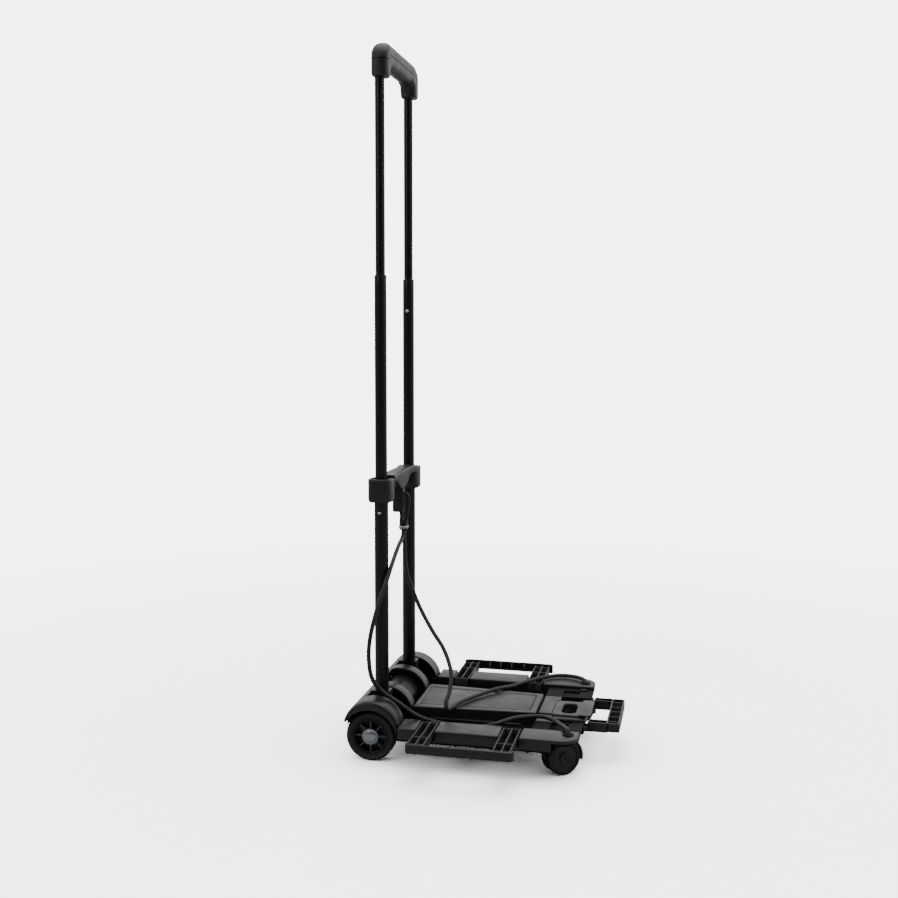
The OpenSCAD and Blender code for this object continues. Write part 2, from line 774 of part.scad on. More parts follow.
module caster_hood() {
    hub = [-TRAIL, caster_r];
    color(BLACK) difference() {
        union() {
            translate([0, 0, 46]) cylinder(r = STEM_R, h = 9.2);
            translate([0, 0, 42]) cylinder(r = 9, h = MOUNT_Z[0] - 42 - GAP);
            along_y(-CASTER_W[0] + GAP, CASTER_W[0] - GAP) {
                translate(hub) circle(8);
                translate([hub.x, hub.y - 4]) square([16, 22]);
                intersection() {
                    translate(hub) circle(23);
                    translate([hub.x, hub.y]) square([60, 60]);
                }
                translate([-9, 40]) square([17, 8]);
            }
            along_y(-CASTER_W[1], CASTER_W[1]) hood_arc(hub);
        }
        along_y(-40, 40) translate(hub) circle(3 + RUN);
        for (y = [[-20, GAP - CASTER_W[0]], [CASTER_W[0] - GAP, 20]])
            along_y(y[0], y[1]) translate(hub) circle(caster_r + 0.5, $fn = 96);
    }
}

// Curved guard over the wheels' front half
module hood_arc(hub) {
    intersection() {
        difference() {
            translate(hub) circle(caster_r + 3.2, $fn = 96);
            translate(hub) circle(caster_r + 0.8, $fn = 96);
        }
        translate([hub.x + 7, 19]) square([30, 30.6]);
        translate([hub.x - 30, 19]) square([80, 49.5 - 19]);
    }
}

module caster_axle() {
    color(SILVER) along_y(-CASTER_W[1] + 1, CASTER_W[1] - 1)
        translate([-TRAIL, caster_r]) circle(3);
}

module caster_wheel(side) {
    y = side > 0 ? CASTER_W : [-CASTER_W[1], -CASTER_W[0]];
    color(TYRE) difference() {
        turned([-TRAIL, caster_r], (y[0] + y[1]) / 2) {
            round_rect([CASTER_HUB_R, caster_r], [-4.5, 4.5], 2.5);
            translate([1, -4]) square([CASTER_HUB_R + 3, 8]);
        }
        along_y(y[0] - 1, y[1] + 1) translate([-TRAIL, caster_r]) circle(3 + RUN);
    }
}

module near_caster_hood() {
    place_caster(-1) caster_hood();
}

module near_caster_axle() {
    place_caster(-1) caster_axle();
}

module near_caster_wheel_outer() {
    place_caster(-1) caster_wheel(-1);
}

module near_caster_wheel_inner() {
    place_caster(-1) caster_wheel(1);
}

module far_caster_hood() {
    place_caster(1) caster_hood();
}

module far_caster_axle() {
    place_caster(1) caster_axle();
}

module far_caster_wheel_outer() {
    place_caster(1) caster_wheel(1);
}

module far_caster_wheel_inner() {
    place_caster(1) caster_wheel(-1);
}

// ---- cords ---------------------------------------------------------------

function unit(v) = v / norm(v);

// Point on a smooth curve through a, b, c and d, between b and c
function between(a, b, c, d, t) = 0.5 * (2 * b + (c - a) * t
    + (2 * a - 5 * b + 4 * c - d) * t * t + (3 * b - a - 3 * c + d) * t * t * t);

// The route with one more point between each two
function smooth(p) = [
    for (i = [0:len(p) - 2], t = [0, 0.5])
        between(p[max(i - 1, 0)], p[i], p[i + 1], p[min(i + 2, len(p) - 1)], t),
    p[len(p) - 1]
];

function direction(q, i) = unit(q[min(i + 1, len(q) - 1)] - q[max(i - 1, 0)]);

// A side vector carried along the curve, so that the tube does not twist
function carry(q, i, u) = unit(u - direction(q, i) * (u * direction(q, i)));
function sides(q, i = 0, u = [1, 0, 0]) = i >= len(q) ? []
    : concat([carry(q, i, u)], sides(q, i + 1, carry(q, i, u)));

module sweep(route, r, n) {
    q = smooth(route);
    u = sides(q);
    points = [
        for (i = [0:len(q) - 1], k = [0:n - 1])
            q[i] + r * (cos(k * 360 / n) * u[i]
                + sin(k * 360 / n) * cross(direction(q, i), u[i]))
    ];
    walls = [
        for (i = [0:len(q) - 2], k = [0:n - 1])
            [i * n + k, (i + 1) * n + k, (i + 1) * n + (k + 1) % n, i * n + (k + 1) % n]
    ];
    first = [for (k = [0:n - 1]) k];
    last = [for (k = [n - 1:-1:0]) (len(q) - 1) * n + k];
    polyhedron(points, concat([first], walls, [last]), convexity = 8);
}

module near_cord() {
    color(BLACK) sweep(CORD_NEAR, CORD_R, CORD_SIDES);
}

module far_cord() {
    color(BLACK) sweep(CORD_FAR, CORD_R, CORD_SIDES);
}

// ---- pieces --------------------------------------------------------------

chassis();
near_rail();
far_rail();
deck();
deck_insert();
front_plateau();
catch_block();
near_caster_mount();
far_caster_mount();
rear_cover();
centre_drum();
near_hinge_bracket();
far_hinge_bracket();
pivot_pins();
rear_axle();
cord_grommets();
chassis_screws();
near_foot();
far_foot();
near_lower_tube();
far_lower_tube();
collar();
cord_tab();
cord_sling();
ferrule();
near_middle_tube();
far_middle_tube();
middle_bushes();
near_upper_tube();
far_upper_tube();
grip_lower_shell();
grip_upper_shell();
near_button();
far_button();
near_wing();
far_wing();
front_extension();
near_tyre();
near_rim();
near_hub_cap();
far_tyre();
far_rim();
far_hub_cap();
near_caster_hood();
near_caster_axle();
near_caster_wheel_outer();
near_caster_wheel_inner();
far_caster_hood();
far_caster_axle();
far_caster_wheel_outer();
far_caster_wheel_inner();
near_cord();
far_cord();
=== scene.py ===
"""Looks of a folding platform cart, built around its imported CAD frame.

Every length is in metres, in the cart's own frame: +X forward, +Y the far side, Z = 0 the ground.
Shapes are grids of points worked out with numpy. A sub-assembly is a class that makes its pieces
and dresses them; a finish is a frozen dataclass that turns itself into a node material.
"""

import json
import logging
from dataclasses import dataclass, field
from enum import Enum

import bmesh
import bpy
import numpy as np
from mathutils import Matrix, Vector

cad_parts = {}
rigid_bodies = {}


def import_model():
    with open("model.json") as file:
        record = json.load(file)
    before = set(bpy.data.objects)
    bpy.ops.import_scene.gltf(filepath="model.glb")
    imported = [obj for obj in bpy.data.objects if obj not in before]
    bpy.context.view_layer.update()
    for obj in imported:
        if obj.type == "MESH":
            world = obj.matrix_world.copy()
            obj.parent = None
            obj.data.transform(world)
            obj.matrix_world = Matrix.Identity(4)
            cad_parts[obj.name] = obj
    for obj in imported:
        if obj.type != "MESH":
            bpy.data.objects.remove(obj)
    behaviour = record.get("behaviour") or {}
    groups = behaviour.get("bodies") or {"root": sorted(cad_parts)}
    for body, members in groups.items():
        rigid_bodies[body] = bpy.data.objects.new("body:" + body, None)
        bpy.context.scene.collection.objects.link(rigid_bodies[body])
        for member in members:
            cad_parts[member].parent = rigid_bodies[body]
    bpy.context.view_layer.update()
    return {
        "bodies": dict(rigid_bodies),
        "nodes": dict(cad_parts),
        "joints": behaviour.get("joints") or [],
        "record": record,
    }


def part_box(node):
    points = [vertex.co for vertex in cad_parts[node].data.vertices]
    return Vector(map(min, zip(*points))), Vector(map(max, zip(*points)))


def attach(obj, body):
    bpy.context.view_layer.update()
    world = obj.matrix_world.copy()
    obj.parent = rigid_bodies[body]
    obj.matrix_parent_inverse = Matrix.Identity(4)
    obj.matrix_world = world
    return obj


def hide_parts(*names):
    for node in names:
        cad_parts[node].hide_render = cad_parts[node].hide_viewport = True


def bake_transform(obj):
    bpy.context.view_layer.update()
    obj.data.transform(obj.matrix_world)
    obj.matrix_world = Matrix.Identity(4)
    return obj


log = logging.getLogger("cart")
MM = 0.001
Array = np.ndarray
Tree = bpy.types.NodeTree
Node = bpy.types.Node
Socket = bpy.types.NodeSocket


# ---- finishes -----------------------------------------------------------------------------


class Grain(Enum):
    """How the fine relief of a surface is laid."""

    SPARK = "spark-eroded mould texture, as on matt mouldings"
    PEEL = "orange peel of a powder coat"
    SKIN = "fine leather-like cells"
    RUBBER = "dull rubber with dust"
    TURNED = "fine lathe or draw marks"
    BRAID = "braided cover, wound round the cord"


@dataclass(frozen=True)
class Finish:
    """A surface finish: base colour, how it varies, its gloss and its relief."""

    name: str
    colour: tuple[float, float, float]
    roughness: float = 0.5
    grain: Grain = Grain.SPARK
    scale: float = 1800.0
    relief: float = 0.25
    mottle: float = 0.18
    metallic: float = 0.0
    sheen: float = 0.0
    specular: float = 0.5

    def material(self) -> bpy.types.Material:
        """Builds the node material once, and gives it again after that.

        Returns:
            The material of this finish.
        """
        found = bpy.data.materials.get(self.name)
        if found:
            return found
        made = bpy.data.materials.new(self.name)
        made.use_nodes = True
        tree = made.node_tree
        shader = tree.nodes["Principled BSDF"]
        shader.inputs["Metallic"].default_value = self.metallic
        shader.inputs["Specular IOR Level"].default_value = self.specular
        shader.inputs["Sheen Weight"].default_value = self.sheen
        shader.inputs["Sheen Roughness"].default_value = 0.4
        place = tree.nodes.new("ShaderNodeTexCoord").outputs["UV" if self.grain is Grain.BRAID else "Object"]
        self._colour(tree, place, shader)
        self._roughness(tree, place, shader)
        self._relief(tree, place, shader)
        return made

    def _noise(self, tree: Tree, place: Socket, scale: float, detail: float = 4.0) -> Node:
        """Adds a noise texture and gives its node."""
        node = tree.nodes.new("ShaderNodeTexNoise")
        node.inputs["Scale"].default_value = scale
        node.inputs["Detail"].default_value = detail
        tree.links.new(place, node.inputs["Vector"])
        return node

    def _spread(self, tree: Tree, value: Socket, low: float, high: float) -> Socket:
        """Maps the middle of a noise's range onto low to high, and gives the output socket."""
        node = tree.nodes.new("ShaderNodeMapRange")
        node.inputs["From Min"].default_value = 0.3
        node.inputs["From Max"].default_value = 0.7
        node.inputs["To Min"].default_value = low
        node.inputs["To Max"].default_value = high
        tree.links.new(value, node.inputs["Value"])
        return node.outputs["Result"]

    def _colour(self, tree: Tree, place: Socket, shader: Node) -> None:
        """Base colour: darker and lighter by mottle, in soft patches with fine specks over them."""
        patch = self._noise(tree, place, 38.0 if self.grain is not Grain.BRAID else 9.0)
        speck = self._noise(tree, place, self.scale * 0.5, 2.0)
        both = tree.nodes.new("ShaderNodeMath")
        both.operation = "ADD"
        tree.links.new(self._spread(tree, patch.outputs["Fac"], 0.0, 0.6), both.inputs[0])
        tree.links.new(self._spread(tree, speck.outputs["Fac"], 0.0, 0.4), both.inputs[1])
        mix = tree.nodes.new("ShaderNodeMix")
        mix.data_type = "RGBA"
        dark = [c * (1 - self.mottle) for c in self.colour]
        light = [min(1.0, c * (1 + self.mottle)) for c in self.colour]
        mix.inputs["A"].default_value = (*dark, 1)
        mix.inputs["B"].default_value = (*light, 1)
        tree.links.new(both.outputs[0], mix.inputs["Factor"])
        tree.links.new(mix.outputs["Result"], shader.inputs["Base Color"])

    def _roughness(self, tree: Tree, place: Socket, shader: Node) -> None:
        """Roughness wanders a little, as handled and dusty surfaces do."""
        smudge = self._noise(tree, place, 60.0 if self.grain is not Grain.BRAID else 30.0)
        low, high = max(0.02, self.roughness - 0.06), min(1.0, self.roughness + 0.07)
        tree.links.new(self._spread(tree, smudge.outputs["Fac"], low, high), shader.inputs["Roughness"])

    def _relief(self, tree: Tree, place: Socket, shader: Node) -> None:
        """Relief by grain: cells, noise, drawn lines, or two crossing spirals for the braid."""
        bump = tree.nodes.new("ShaderNodeBump")
        bump.inputs["Strength"].default_value = self.relief
        bump.inputs["Distance"].default_value = 0.0003
        if self.grain is Grain.SKIN:
            cells = tree.nodes.new("ShaderNodeTexVoronoi")
            cells.feature = "SMOOTH_F1"
            cells.inputs["Scale"].default_value = self.scale
            tree.links.new(place, cells.inputs["Vector"])
            height = cells.outputs["Distance"]
        elif self.grain is Grain.BRAID:
            height = self._braid(tree, place)
            bump.inputs["Distance"].default_value = 0.0006
        elif self.grain is Grain.TURNED:
            lines = tree.nodes.new("ShaderNodeMapping")
            lines.inputs["Scale"].default_value = (1.0, 1.0, 0.04)
            tree.links.new(place, lines.inputs["Vector"])
            height = self._noise(tree, lines.outputs["Vector"], self.scale, 2.0).outputs["Fac"]
        else:
            height = self._noise(tree, place, self.scale, 3.0).outputs["Fac"]
        tree.links.new(height, bump.inputs["Height"])
        tree.links.new(bump.outputs["Normal"], shader.inputs["Normal"])

    def _braid(self, tree: Tree, place: Socket) -> Socket:
        """Height of a braid: the larger of two sine waves that cross, over the tube's UV map."""
        waves = []
        for slope in (1.0, -1.0):
            turn = tree.nodes.new("ShaderNodeMapping")
            turn.inputs["Rotation"].default_value = (0, 0, slope * 0.785)
            tree.links.new(place, turn.inputs["Vector"])
            wave = tree.nodes.new("ShaderNodeTexWave")
            wave.bands_direction = "X"
            wave.inputs["Scale"].default_value = self.scale
            wave.inputs["Distortion"].default_value = 0.0
            tree.links.new(turn.outputs["Vector"], wave.inputs["Vector"])
            waves.append(wave.outputs["Fac"])
        higher = tree.nodes.new("ShaderNodeMath")
        higher.operation = "MAXIMUM"
        tree.links.new(waves[0], higher.inputs[0])
        tree.links.new(waves[1], higher.inputs[1])
        return higher.outputs[0]


MOULDING = Finish("charcoal moulding", (0.0072, 0.0075, 0.0088), 0.36, scale=2400, relief=0.14)
DECK = Finish("deck moulding", (0.0120, 0.0125, 0.0150), 0.36, scale=2000, relief=0.15)
# Near-black, nearly without specular: painted shade, laid on recesses, floors and hidden parts so that they
# read as the shade in and under the base.
PAINTED_SHADE = Finish("painted shade black moulding", (0.0030, 0.0030, 0.0033), 0.62, relief=0.2, specular=0.12)
# Light grey, far lighter than the charcoal moulding: painted highlight for the light caught along rib tops.
RIB_HIGHLIGHT = Finish("rib moulding painted highlight", (0.042, 0.043, 0.047), 0.42, scale=2400, relief=0.12)
GRIP = Finish("grip soft touch", (0.0056, 0.0060, 0.0074), 0.42, Grain.SKIN, 1500, 0.18, sheen=0.04)
PAINT = Finish(
    "satin powder coat", (0.0016, 0.0016, 0.0018), 0.34, Grain.PEEL, 900, 0.08, 0.12, specular=0.35,
)
RUBBER = Finish("tyre rubber", (0.0150, 0.0150, 0.0156), 0.60, Grain.RUBBER, 1400, 0.35, 0.3)
WHEEL = Finish("wheel plastic", (0.0030, 0.0030, 0.0033), 0.42, scale=2200, relief=0.15, specular=0.35)
DISC = Finish("caster disc", (0.0065, 0.0065, 0.0070), 0.45, scale=2200, relief=0.15)
# Light grey: painted highlight for the light caught on the spokes' edges.
SPOKE_HIGHLIGHT = Finish("spoke plastic painted highlight", (0.085, 0.087, 0.092), 0.40, scale=2200, relief=0.12)
CAP = Finish("zinc plated cap", (0.38, 0.40, 0.42), 0.30, Grain.TURNED, 1600, 0.2, 0.1, metallic=1.0)
STEEL = Finish("plated steel", (0.50, 0.50, 0.52), 0.32, Grain.TURNED, 1600, 0.25, 0.1, metallic=1.0)
CORD = Finish("braided cord cover", (0.0035, 0.0035, 0.0040), 0.45, Grain.BRAID, 6.0, 0.5, 0.25, sheen=0.04)
CRIMP = Finish("crimp", (0.42, 0.42, 0.44), 0.36, Grain.TURNED, 1500, 0.2, 0.15, metallic=0.8)


# ---- shapes -------------------------------------------------------------------------------


def corner_rounded(corners: list, radii: list, steps: int = 6) -> Array:
    """An outline whose corners are arcs.

    At each corner the arc of radius r touches both edges at r / tan(half the inner angle) from it.

    Args:
        corners: (x, y) of each corner, anticlockwise.
        radii: one radius per corner.
        steps: points on each arc, less one.
    Returns:
        An (n, 2) array of points.
    """
    c = np.array(corners, float)
    before = np.roll(c, 1, 0) - c
    after = np.roll(c, -1, 0) - c
    before /= np.linalg.norm(before, axis=1)[:, None]
    after /= np.linalg.norm(after, axis=1)[:, None]
    half = 0.5 * np.arccos(np.clip((before * after).sum(1), -1, 1))
    r = np.maximum(np.array(radii, float), 1e-5)
    bisector = before + after
    bisector /= np.linalg.norm(bisector, axis=1)[:, None]
    centre = c + bisector * (r / np.sin(half))[:, None]
    start = c + before * (r / np.tan(half))[:, None] - centre
    end = c + after * (r / np.tan(half))[:, None] - centre
    a0 = np.arctan2(start[:, 1], start[:, 0])
    sweep = np.arctan2(end[:, 1], end[:, 0]) - a0
    sweep = (sweep + np.pi) % (2 * np.pi) - np.pi
    t = np.linspace(0, 1, steps + 1)
    angle = a0[:, None] + sweep[:, None] * t[None]
    x = centre[:, :1] + r[:, None] * np.cos(angle)
    y = centre[:, 1:] + r[:, None] * np.sin(angle)
    return np.stack([x.ravel(), y.ravel()], 1)


def rounded_rect(x: tuple, y: tuple, r: float, steps: int = 6) -> Array:
    """Outline of a rectangle with four equal round corners."""
    corners = [(x[0], y[0]), (x[1], y[0]), (x[1], y[1]), (x[0], y[1])]
    return corner_rounded(corners, [r] * 4, steps)


def inset(outline: Array, d: float) -> Array:
    """The outline moved inwards by d along its mitred normals."""
    edge = np.roll(outline, -1, 0) - outline
    length = np.linalg.norm(edge, axis=1)[:, None]
    out = np.stack([edge[:, 1], -edge[:, 0]], 1) / np.maximum(length, 1e-12)
    mitre = out + np.roll(out, 1, 0)
    scale = 2.0 / np.maximum((mitre**2).sum(1), 1.0)
    return outline - d * mitre * scale[:, None]


def lifted(outline: Array, z: float) -> Array:
    """A flat outline as points at height z."""
    return np.column_stack([outline, np.full(len(outline), z)])


@dataclass
class Shape:
    """Closed surfaces gathered into one mesh, with an optional UV per corner."""

    points: list = field(default_factory=list)
    faces: list = field(default_factory=list)
    uvs: list = field(default_factory=list)
    count: int = 0

    def loft(self, rings: Array, ring: bool = False) -> "Shape":
        """Skins a grid of points, row to row, its last column joined to the first.

        Args:
            rings: (rows, columns, 3) points.
            ring: joins the last row to the first, in place of a face that closes each.
        Returns:
            This shape.
        """
        rows, cols = rings.shape[:2]
        i = np.arange(rows if ring else rows - 1)[:, None]
        j = np.arange(cols)[None]
        a = i * cols + j
        b = i * cols + (j + 1) % cols
        c = ((i + 1) % rows) * cols + (j + 1) % cols
        d = ((i + 1) % rows) * cols + j
        quads = np.stack([a, b, c, d], -1).reshape(-1, 4) + self.count
        self.faces += quads.tolist()
        v = np.broadcast_to(i / max(rows - 1, 1), a.shape)
        u = np.broadcast_to(j / cols, a.shape)
        du, dv = 1 / cols, 1 / max(rows - 1, 1)
        corners = [(u, v), (u + du, v), (u + du, v + dv), (u, v + dv)]
        self.uvs += np.stack([np.stack(k, -1) for k in corners], -2).reshape(-1, 2).tolist()
        if not ring:
            first = (np.arange(cols)[::-1] + self.count).tolist()
            last = (np.arange(cols) + (rows - 1) * cols + self.count).tolist()
            self.faces += [first, last]
            self.uvs += [(0.0, 0.0)] * (2 * cols)
        self.points.append(rings.reshape(-1, 3))
        self.count += rows * cols
        return self

    def slab(self, outline: Array, z0: float, z1: float, top: float, bottom: float = 0.0003) -> "Shape":
        """An extruded outline whose top and bottom edges are quarter rounds of those radii."""
        q = np.linspace(0, np.pi / 2, 5)
        rings = [lifted(inset(outline, bottom * (1 - np.sin(a))), z0 + bottom * (1 - np.cos(a))) for a in q]
        rings += [lifted(inset(outline, top * (1 - np.cos(a))), z1 - top * (1 - np.sin(a))) for a in q]
        return self.loft(np.array(rings))

    def holed_slab(self, outline: Array, hole: Array, z0: float, z1: float, edge: float) -> "Shape":
        """A slab with a hole right through it: the skin turns over the top edge and down the hole."""
        q = np.linspace(0, np.pi / 2, 4)
        rings = [lifted(inset(outline, edge * (1 - np.cos(a))), z1 - edge * (1 - np.sin(a))) for a in q]
        rings += [lifted(inset(hole, -edge * (1 - np.sin(a))), z1 - edge * (1 - np.cos(a))) for a in q]
        rings = [lifted(outline, z0)] + rings + [lifted(hole, z0)]
        return self.loft(np.array(rings), ring=True)

    def brick(self, lo: tuple, hi: tuple, r: float = 0.0006) -> "Shape":
        """A box with rounded edges: a slab over a rounded rectangle."""
        r = min(r, 0.45 * min(b - a for a, b in zip(lo, hi)))
        outline = rounded_rect((lo[0], hi[0]), (lo[1], hi[1]), max(r, 1e-4) * 1.05, 3)
        return self.slab(outline, lo[2], hi[2], r, r)

    def lathe(self, profile: Array, centre: tuple, turns: int = 64, closed: bool = True) -> "Shape":
        """Turns a profile of (radius, place along the axis) about an axis along +Z through centre."""
        a = np.linspace(0, 2 * np.pi, turns, endpoint=False)
        r, z = profile[:, :1], profile[:, 1:]
        x = centre[0] + r * np.cos(a)
        y = centre[1] + r * np.sin(a)
        grid = np.stack([x, y, np.broadcast_to(centre[2] + z, x.shape)], -1)
        return self.loft(grid, ring=closed)

    def prism(self, outline: Array, lo: float, hi: float, edge: float = 0.0008, axis: str = "y") -> "Shape":
        """An outline in the X-Z plane drawn out along Y, or one in the Y-Z plane along X.

        Args:
            outline: (n, 2) points.
            lo: where it starts along the axis.
            hi: where it ends.
            edge: radius of its end edges.
            axis: "y" or "x".
        Returns:
            This shape.
        """
        q = np.linspace(0, np.pi / 2, 4)
        d = np.concatenate([edge * (1 - np.sin(q)), edge * (1 - np.cos(q))])
        at = np.concatenate([lo + edge * (1 - np.cos(q)), hi - edge * (1 - np.sin(q))])
        rings = []
        for step, place in zip(d, at):
            flat = inset(outline, step)
            along = np.full(len(flat), place)
            rings.append(np.column_stack([flat[:, 0], along, flat[:, 1]] if axis == "y" else [along, flat]))
        return self.loft(np.array(rings))

    def add(self, other: "Shape") -> "Shape":
        """Takes another shape's surfaces in as well."""
        self.points += other.points
        self.faces += [[i + self.count for i in f] for f in other.faces]
        self.uvs += other.uvs
        self.count += other.count
        return self

    def turned(self, rotate: Matrix, move: tuple = (0, 0, 0)) -> "Shape":
        """This shape turned by a matrix, then moved."""
        m = np.array(rotate.to_3x3())
        self.points = [p @ m.T + np.array(move) for p in self.points]
        return self

    def add_pair(self, far: "Shape") -> "Shape":
        """Takes in a part drawn for the far side, with its mirror image on the near side."""
        return self.add(far.mirrored()).add(far)

    def mirrored(self) -> "Shape":
        """A copy of this shape on the other side of the middle plane, its faces turned to match."""
        flip = np.array([1.0, -1.0, 1.0])
        other = Shape([p * flip for p in self.points], [f[::-1] for f in self.faces], [], self.count)
        at = 0
        for face in self.faces:
            other.uvs += self.uvs[at : at + len(face)][::-1]
            at += len(face)
        return other

    def sided(self, side: int) -> "Shape":
        """The shape drawn for the far side, for side 1, or its mirror image, for side -1."""
        return self if side > 0 else self.mirrored()

    def piece(
        self, name: str, finish: Finish, body: str, slot: str, smooth: float = 0.7, replaces: str = "",
    ) -> bpy.types.Object:
        """Makes the mesh, merges its doubles, turns its faces outwards and dresses it.

        Args:
            name: the piece's name.
            finish: its finish.
            body: the CAD body it moves with.
            slot: the record's material slot it stands for; not used.
            smooth: edges flatter than this angle, in radians, are shaded smooth.
            replaces: the CAD node that it stands for, if there is one.
        Returns:
            The new object.
        """
        mesh = bpy.data.meshes.new(name)
        mesh.from_pydata(np.concatenate(self.points).tolist(), [], self.faces)
        layer = mesh.uv_layers.new(name="UVMap")
        layer.data.foreach_set("uv", np.array(self.uvs, np.float32).ravel())
        work = bmesh.new()
        work.from_mesh(mesh)
        bmesh.ops.remove_doubles(work, verts=work.verts, dist=2e-6)
        bmesh.ops.dissolve_degenerate(work, edges=work.edges, dist=1e-6)
        bmesh.ops.recalc_face_normals(work, faces=work.faces)
        work.to_mesh(mesh)
        work.free()
        mesh.polygons.foreach_set("use_smooth", [True] * len(mesh.polygons))
        mesh.set_sharp_from_angle(angle=smooth)
        mesh.materials.append(finish.material())
        made = bpy.data.objects.new(name, mesh)
        bpy.context.scene.collection.objects.link(made)
        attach(made, body)
        if replaces:
            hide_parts(replaces)
        log.info("%s: %d faces, rides on %s", name, len(mesh.polygons), body)
        return made


def smooth_path(points: list, each: int = 10) -> Array:
    """A smooth curve through given points (Catmull-Rom).

    Args:
        points: the route's points.
        each: points from one route point to the next.
    Returns:
        An (n, 3) array along the curve.
    """
    p = np.array(points, float)
    p = np.vstack([p[0], p, p[-1]])
    t = np.linspace(0, 1, each, endpoint=False)[None, :, None]
    a, b, c, d = (p[k : len(p) - 3 + k, None] for k in range(4))
    curve = 0.5 * (2 * b + (c - a) * t + (2 * a - 5 * b + 4 * c - d) * t**2 + (3 * b - a - 3 * c + d) * t**3)
    return np.vstack([curve.reshape(-1, 3), p[-2]])


def tube_rings(path: Array, radius: float, sides: int, up: tuple) -> Array:
    """Rings of a round tube along a path, set square to it by a fixed reference direction."""
    tangent = np.gradient(path, axis=0)
    tangent /= np.linalg.norm(tangent, axis=1)[:, None]
    u = np.array(up, float) - tangent * (tangent @ np.array(up, float))[:, None]
    u /= np.linalg.norm(u, axis=1)[:, None]
    w = np.cross(tangent, u)
    a = np.linspace(0, 2 * np.pi, sides, endpoint=False)
    r = np.broadcast_to(radius, len(path))[:, None, None]
    around = np.cos(a)[None, :, None] * u[:, None] + np.sin(a)[None, :, None] * w[:, None]
    return path[:, None] + r * around


def centre_of(node: str) -> Array:
    """Middle of a CAD node's box."""
    lo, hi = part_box(node)
    return (np.array(lo) + np.array(hi)) / 2


def size_of(node: str) -> Array:
    """Size of a CAD node's box."""
    lo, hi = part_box(node)
    return np.array(hi) - np.array(lo)


SIDES = ((-1, "near"), (1, "far"))


# ---- camera, light and floor --------------------------------------------------------------


